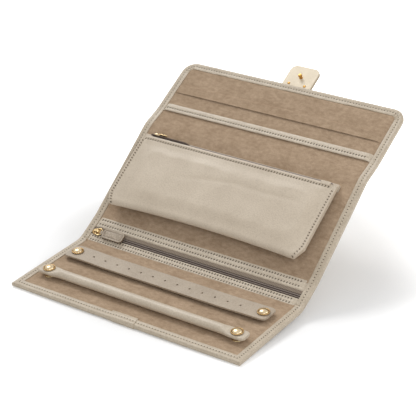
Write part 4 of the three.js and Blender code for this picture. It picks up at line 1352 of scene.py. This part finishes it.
def pin_seams(pillow_obj):
    """Weights of 1 along the seams and underneath, falling to 0 a few millimetres inside."""
    seams = pillow_obj.vertex_groups.new(name="seams")
    for v in pillow_obj.data.vertices:
        x, y, h = v.co / MM
        inside = min(from_side(x, y) - SIDE_IN, MOUTH - y - TOP_IN, y - pouch_bottom(x) - FOOT_IN)
        seams.add([v.index], 1 if h < 1 else 1 - smoothstep(PIN_FROM, PIN_TO, inside), "REPLACE")


def blown_up():
    """The pillow's surface after the simulation, as a tree to look heights up in."""
    pillow_obj = pillow_piece()
    remesh = pillow_obj.modifiers.new("even", "REMESH")
    remesh.mode, remesh.voxel_size = "VOXEL", VOXEL
    even = bpy.data.meshes.new_from_object(settled(pillow_obj))
    pillow_obj.modifiers.clear()
    pillow_obj.data = even
    pin_seams(pillow_obj)
    cloth = pillow_obj.modifiers.new("leather", "CLOTH")
    cloth.settings.effector_weights.gravity = 0
    cloth.settings.use_pressure = True
    cloth.settings.uniform_pressure_force = PRESSURE
    cloth.settings.shrink_min = SPARE
    cloth.settings.vertex_group_mass = "seams"
    cloth.point_cache.frame_end = LAST_FRAME
    for frame_number in range(1, LAST_FRAME + 1):
        bpy.context.scene.frame_set(frame_number)
    result = bmesh.new()
    result.from_mesh(settled(pillow_obj).data)
    for _ in range(SMOOTHINGS):
        bmesh.ops.smooth_vert(result, verts=result.verts, factor=0.5, use_axis_x=False,
                              use_axis_y=False, use_axis_z=True)
    bmesh.ops.scale(result, vec=(1 / MM, 1 / MM, 1 / MM), verts=result.verts)
    tree = BVHTree.FromBMesh(result)
    bpy.context.scene.frame_set(1)
    bpy.data.objects.remove(pillow_obj)
    return tree


# %% The leather's final height
blown_tree = blown_up()
moves = []


def leather_level(x, y):
    """The front leather's height: the seams and folds by rule, and the swelling as simulated."""
    level = front_level(x, y)
    if blown_tree is None:
        return level
    hit = blown_tree.ray_cast(Vector((x, y, 40)), Vector((0, 0, -1)))[0]
    if hit is None:
        return level
    inside = min(from_side(x, y), MOUTH - y, y - pouch_bottom(x))
    move = max(-CAP, min(CAP, hit.z + UNDER_LEATHER - level)) * smoothstep(4, 14, inside)
    moves.append(move)
    return level + move


# %% [markdown]
# ### Leather of the pouch
# The pouch is two pieces of thin leather: a front that wraps over the lower fold, and a flat back
# that is sewn to the panel by a strip. A subdivided box could be pushed into shape, but its faces
# would be widest where the seams are. So the front is a grid whose rows crowd towards its edges.

# %% Pouch leather
SHELL_GRID, CROWDING = (150, 64), 0.35
WRAP_RINGS = ((0, 3.1), (0.9, 2.9))


def pouch_shell():
    """The front leather. Its mesh is closer near the edges, where the seams are."""
    def rule(u, v):
        t = 2 * u - 1
        t = (1 + CROWDING) * t - CROWDING * t ** 3
        low = pouch_bottom(t * POUCH_HALF)
        y = low + (1 - (1 - v) ** 1.5) * (MOUTH - low)
        x = t * (POUCH_HALF - chamfer_in(y))
        return Vector((x, y, leather_level(x, y)))

    bm = grid(*SHELL_GRID, rule)
    for inward, level in WRAP_RINGS:
        for v in points_in(bmesh.ops.extrude_edge_only(bm, edges=rim_of(bm))):
            in_lower_half = v.co.y < -POUCH_LENGTH / 2
            v.co = Vector((v.co.x * (1 - inward / POUCH_HALF), v.co.y + inward * in_lower_half,
                           min(level, v.co.z - 0.1)))
    bmesh.ops.holes_fill(bm, edges=rim_of(bm), sides=0)
    return bm


pouch_front = hang(pouch_shell(), "pouch_front_leather", POUCH, "pouch_leather", "pouch",
                   "pouch_front", place=on_pouch, edge=0.45, segments=3, angle=50, sharp=50)

BACK_INSET, BACK_LEVELS = 0.3, (0.6, 2.8)
EDGE_X, CORNER_Y = POUCH_HALF - BACK_INSET, CHAMFER_Y - POUCH_LENGTH
bottom_half = POUCH_HALF - CHAMFER_X - 1
back_outline = [(x, pouch_bottom(x) + BACK_INSET) for x in steps(-bottom_half, bottom_half, 8)]
back_outline += [(EDGE_X, CORNER_Y), (EDGE_X, 0), (-EDGE_X, 0), (-EDGE_X, CORNER_Y)]
hang(plate_from(back_outline, *BACK_LEVELS), "pouch_back_leather", POUCH, "pouch_leather", "pouch",
     "pouch_back", place=on_pouch, edge=0.35)

HINGE_LOW, HINGE_HIGH, HINGE_LEVELS = 206.5, 212.5, (0.1, 0.7)
hinge_ends = POUCH_AT.x - POUCH_HALF, POUCH_AT.x + POUCH_HALF
hinge_outline = [(hinge_ends[0], HINGE_LOW), (hinge_ends[1], HINGE_LOW),
                 (hinge_ends[1], HINGE_HIGH), (hinge_ends[0], HINGE_HIGH)]
hang(plate_from(hinge_outline, *HINGE_LEVELS), "pouch_hinge_leather", POUCH, "pouch_leather",
     "back_panel", "pouch_hinge_strip", edge=0.2)
if moves:
    print("cloth moved the pouch's leather from", round(min(moves), 2), "to",
          round(max(moves), 2), "mm")

# %% [markdown]
# ### Seams of the pouch
# Thread runs up both sides and along the zip, and puckers the soft leather, so the awl's slits are
# longer than on the binding, and their painted shade is paler. They could be flat marks, but the
# leather swells round them. So each slit follows the leather's own height, found with the same rule
# that shaped it.

# %% Seams of the pouch
SIDE_ROW, TOP_ROW = POUCH_HALF - SIDE_SEAM, MOUTH - TOP_SEAM
SIDE_THREAD, TOP_THREAD = 0.08, 0.18


def pouch_levels(x, y):
    return [leather_level(x, y) + (TOP_THREAD if y > TOP_ROW - 2 else SIDE_THREAD)]


def side_row(sign):
    return [(sign * (SIDE_ROW - CHAMFER_X + 0.6), -POUCH_LENGTH + 1.2),
            (sign * SIDE_ROW, CHAMFER_Y - POUCH_LENGTH + 0.6), (sign * SIDE_ROW, TOP_ROW)]


sew("pouch", [side_row(-1), side_row(1), [(-SIDE_ROW + 2, TOP_ROW), (SIDE_ROW - 2, TOP_ROW)]],
    pouch_levels, "pouch", place=on_pouch, slot="pouch_leather", slit=2.1, follow=True,
    hole_shade=SOFT_SHADED_HOLE)

# %% [markdown]
# ### The pouch's zip
# The zip lies in the pouch's narrow upper face. Beside the slider its coils stand up and show as a
# dark row, and further right only the edge of the tape looks over the leather. A small tab of
# leather covers the right end of the zip. One straight row of coils would be simpler, but it would
# hide behind the leather, so each loop is raised by a rule that ends where the coils dive under.

# %% Zip of the pouch
COIL_HALF, COIL_PITCH = 96, 1.6
DIVE_START, DIVE_END = -58, -50
COIL_Y, COIL_FORWARD, COIL_TALLER = -2.25, 0.9, 1.6
INNER_COIL, OUTER_COIL = (2.5, 1.0), (3.9, 1.9)
POUCH_LOOP_SIZE = 1.7, 1.0, 0.8
pouch_loop = as_mesh(rounded_bar(*POUCH_LOOP_SIZE), "pouch_loop")


def coil_row(level, lifted):
    places = []
    for x in steps(-COIL_HALF, COIL_HALF, COIL_PITCH):
        up = 1 - smoothstep(DIVE_START, DIVE_END, x)
        places.append(lambda co, x=x, up=up: Vector((
            x + co.y, COIL_Y + COIL_FORWARD * up + co.z * (1 + COIL_TALLER * up),
            level + lifted * up + co.x)))
    return copies(pouch_loop, places)


BEAD_Y, BEAD_LEVEL, BEAD_SINK, BEAD_THICK, BEAD_HIGH = -2.4, 5.35, 2, 0.45, 0.9
BEAD_REACH, BEAD_STEP, BEAD_POINTS = 100, 2.5, 12


def tape_bead():
    """Folded edge of the zip's tape, along the mouth."""
    turns = [k * math.tau / BEAD_POINTS for k in range(BEAD_POINTS)]
    bead = [(BEAD_THICK * math.cos(a), BEAD_HIGH * math.sin(a)) for a in turns]

    def at(x, point):
        down = BEAD_SINK * (1 - smoothstep(DIVE_START, DIVE_END + 2, x))
        return Vector((x, BEAD_Y + point[0], BEAD_LEVEL - down + point[1]))

    return sweep(bead, steps(-BEAD_REACH, BEAD_REACH, BEAD_STEP), at)


END_TAB_BOX, END_TAB_LEVELS = (88.5, -5.4, 98.5, -1.5, 1.2), (3.6, 6.5)
hang(coil_row(*INNER_COIL), "pouch_coil_inner", DARK_COIL, "zip_teeth", "pouch",
     "pouch_inner_teeth", place=on_pouch)
hang(coil_row(*OUTER_COIL), "pouch_coil_outer", DARK_COIL, "zip_teeth", "pouch",
     "pouch_outer_teeth", place=on_pouch)
hang(tape_bead(), "pouch_tape_edge", GREY_TAPE, "zip_tape", "pouch", place=on_pouch)
hang(plate_from(rounded_box(*END_TAB_BOX), *END_TAB_LEVELS), "pouch_zip_end_tab", POUCH,
     "pouch_leather", "pouch", place=on_pouch, edge=0.5, segments=3)
print("the pouch's zip is", 2 * COIL_HALF, "mm long")

# %% [markdown]
# ### Slider and tag of the pouch
# The pouch's slider is a small cast lump of gold metal with a flat tag. A bevelled cube would
# keep flat sides. A ball whose points are pushed outwards gives the soft block that casting does.

# %% Slider and tag of the pouch
def blob(x0, x1, y0, y1, h0, h1):
    """A smooth rounded block between six limits, squarer than a ball."""
    bm = bmesh.new()
    bmesh.ops.create_uvsphere(bm, u_segments=20, v_segments=14, radius=1)
    for v in bm.verts:
        x, y, h = [squarer(c, 0.7) for c in v.co]
        v.co = Vector(((x0 + x1) / 2 + x * (x1 - x0) / 2, (y0 + y1) / 2 + y * (y1 - y0) / 2,
                       (h0 + h1) / 2 + h * (h1 - h0) / 2))
    return bm


SLIDER_BOX = -94, -87.2, -1.4, 0.6, 2.4, 7.6
TAG_BOX, TAG_THICK, TAG_GAP = (-88.6, 4.6, -79.6, 7.4, 1.2), 0.55, 0.05
hang(blob(*SLIDER_BOX), "pouch_slider_body", CAP_GOLD, "gold_metal", "pouch_slider",
     "pouch_slider", place=on_pouch)
tag_bm = plate_from(rounded_box(*TAG_BOX), 0, TAG_THICK)
for v in tag_bm.verts:
    v.co = Vector((v.co.x, v.co.z + TAG_GAP, v.co.y))
hang(tag_bm, "pouch_tag", GOLD, "gold_metal", "pouch_zip_tag", "pouch_zip_tag", place=on_pouch,
     edge=0.25, segments=3)
print("pouch slider and tag made")

# %% [markdown]
# ## Clasp
# A plate on the flap's outside carries a peg and two rivets. The peg presses into a round socket
# on the front panel's outside. The plate could be part of the flap, but it is metal on leather and
# its edge catches the light, so it is a plate of its own, and the peg and rivets are turned.

# %% Clasp
CLASP_HALF, CLASP_LOW, CLASP_HIGH, CLASP_CORNER = 15.5, ROLL_END - 22, ROLL_END + 26.5, 6.5
PLATE_LEVELS = -7.8, -4.3
PEG_S, RIVET_X, RIVET_S = ROLL_END + 13.2, 8.5, ROLL_END + 4.3
PEG_PROFILE = [(0, -4.5), (1.8, -4.5), (1.8, -4.0), (1.35, -3.9), (1.3, -2.5), (1.6, -2.2),
               (1.85, -1.9), (1.85, -0.6), (1.7, -0.25), (1.3, -0.1), (0, -0.05)]
RIVET_PROFILE = [(0, -4.4), (1.4, -4.4), (1.35, -4.0), (0.9, -3.75), (0, -3.7)]
clasp_outline = rounded_box(-CLASP_HALF, CLASP_LOW, CLASP_HALF, CLASP_HIGH, CLASP_CORNER, 10)
hang(plate_from(clasp_outline, *PLATE_LEVELS), "clasp_leaf", PALE_GOLD, "pale_gold_metal", "flap",
     "clasp_plate", edge=0.7, segments=4)
hang(spun(PEG_PROFILE, 0, PEG_S, 28), "clasp_stud", WARM_GOLD, "gold_metal", "flap", "clasp_peg")
for side, sign in SIDES:
    hang(spun(RIVET_PROFILE, sign * RIVET_X, RIVET_S, 20), f"clasp_rivet_{side}", WARM_GOLD,
         "pale_gold_metal", "flap")
print("clasp plate", 2 * CLASP_HALF, "by", CLASP_HIGH - CLASP_LOW, "mm")

# %% [markdown]
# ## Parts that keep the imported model's shape
# The boards, the zip's bag and the clasp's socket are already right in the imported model, so making
# them again would only add work. They only need a finish, chosen by a word in their names.

# %% Carried-over parts get their finishes
FINISH_OF = {"board": BOARD, "bag": SUEDE, "teeth": COIL, "slider": GOLD, "tag": GOLD,
             "socket": GOLD}
for name, node in frame["nodes"].items():
    material = next((m for word, m in FINISH_OF.items() if word in name), BINDING)
    node.data.materials.clear()
    node.data.materials.append(material)
print("finishes given to", len(frame["nodes"]), "packed parts")

# %% [markdown]
# ## Floor, light and camera
# The roll was photographed on white paper. A brighter lamp could make the ground white, but it
# would bleach the leather too. So the floor stays plain paper near the roll, where the shadows
# fall, and glows for the lens alone further out. Shiny metal mirrors that white ground as well.

# %% Stage
FLOOR_GLOW, SHADOW_REACH, WHITE_REACH = 0.1, 0.14, 0.29
FLOOR_HALF, FLOOR_LEVEL = 4, -0.0002
PAPER = (0.86, 0.86, 0.86), (0.88, 0.88, 0.88)


def seen_by(tree):
    """1 on the rays of the lens, and 1 on the rays that mirrors send out."""
    return [tree.node("ShaderNodeLightPath", output=name)
            for name in ("Is Camera Ray", "Is Glossy Ray")]


def floor_finish():
    """White paper: it keeps the shadow near the roll, and far from it the lens sees plain white."""
    f = Finish("floor", Roughness=0.9, Specular_IOR_Level=0.1, Emission_Strength=1.0)
    place = f.place(False)
    camera_ray, glossy_ray = seen_by(f)
    away = f.node("ShaderNodeVectorMath", {"operation": "LENGTH"}, place, output="Value")
    far = f.node("ShaderNodeMapRange", {"interpolation_type": "SMOOTHSTEP"}, away,
                 SHADOW_REACH, WHITE_REACH)
    glow = (camera_ray + glossy_ray) * (far * (1 - FLOOR_GLOW) + FLOOR_GLOW)
    paper = f.tint(f.cloud(place, 3), *PAPER)
    return f.done(Base_Color=paper, Emission_Color=f.tint(glow, (0, 0, 0), (1, 1, 1)))


floor = make_piece(grid(2, 2, lambda u, v: FLOOR_HALF * Vector((2 * u - 1, 2 * v - 1, 0))),
                   "floor", lambda x, y, z: Vector((x, y, FLOOR_LEVEL)), floor_finish())
print("floor", floor.dimensions.x, "m wide")

# %% [markdown]
# The shadow falls to the right, so the main lamp stands high on the left. A picture of a studio
# could light the roll, but three round soft boxes are easier to move, and the world fills the
# shadows. They are only as bright as it takes for a colour to look as it is written.

# %% World and lamps
WORLD_LIGHT = 0.56
scene = bpy.context.scene
scene.world = bpy.data.worlds.new("studio")
scene.world.use_nodes = True
sky = Tree(scene.world.node_tree, "Background")
sky.fix(Color=(1, 1, 1, 1))
either = sky.node("ShaderNodeMath", {"operation": "MAXIMUM"}, *seen_by(sky))
sky.feed(Strength=sky.node("ShaderNodeMath", {"operation": "MAXIMUM"}, either, WORLD_LIGHT))


def lamp(name, toward, distance, size, share):
    """A round soft box. share is how bright white paper facing it looks by its light alone."""
    light = bpy.data.lights.new(name, "AREA")
    light.shape = "DISK"
    light.size = size
    light.energy = share * math.pi ** 2 * distance ** 2
    obj = bpy.data.objects.new(name, light)
    obj.location = Vector(toward).normalized() * distance
    obj.rotation_euler = obj.location.to_track_quat("Z", "Y").to_euler()
    scene.collection.objects.link(obj)
    print(name, round(light.energy, 1), "W")


lamp("key", (-0.65, 0.35, 0.9), 4.0, 1.6, 0.38)
lamp("fill", (0.9, 0.3, 0.75), 0.8, 0.45, 0.16)
lamp("front", (0.75, -0.75, 0.6), 1.4, 0.9, 0.16)

# %% [markdown]
# The camera stands where it stood for the photograph. It could be turned by eye until the picture
# fits, but its place, turn and focal length were worked out from points measured on the
# photograph, so that every edge falls where it should.

# %% Camera
AIM = Vector((-0.0676, 0.07874, 0.00402))
YAW, PITCH = math.radians(34.84), math.radians(24.74)
DISTANCE = 1.4406
FOCAL_PIXELS, PICTURE_PIXELS, SENSOR_MM = 1485.7, 416, 36
back = Vector((math.sin(YAW) * math.cos(PITCH), -math.cos(YAW) * math.cos(PITCH), math.sin(PITCH)))
camera_data = bpy.data.cameras.new("camera")
camera_data.sensor_width = SENSOR_MM
camera_data.lens = SENSOR_MM * FOCAL_PIXELS / PICTURE_PIXELS
camera = bpy.data.objects.new("camera", camera_data)
camera.location = AIM + back * DISTANCE
camera.rotation_euler = (-back).to_track_quat("-Z", "Y").to_euler()
scene.collection.objects.link(camera)
scene.camera = camera
scene.view_settings.view_transform = "Standard"
print("focal length", round(camera_data.lens, 1), "mm")
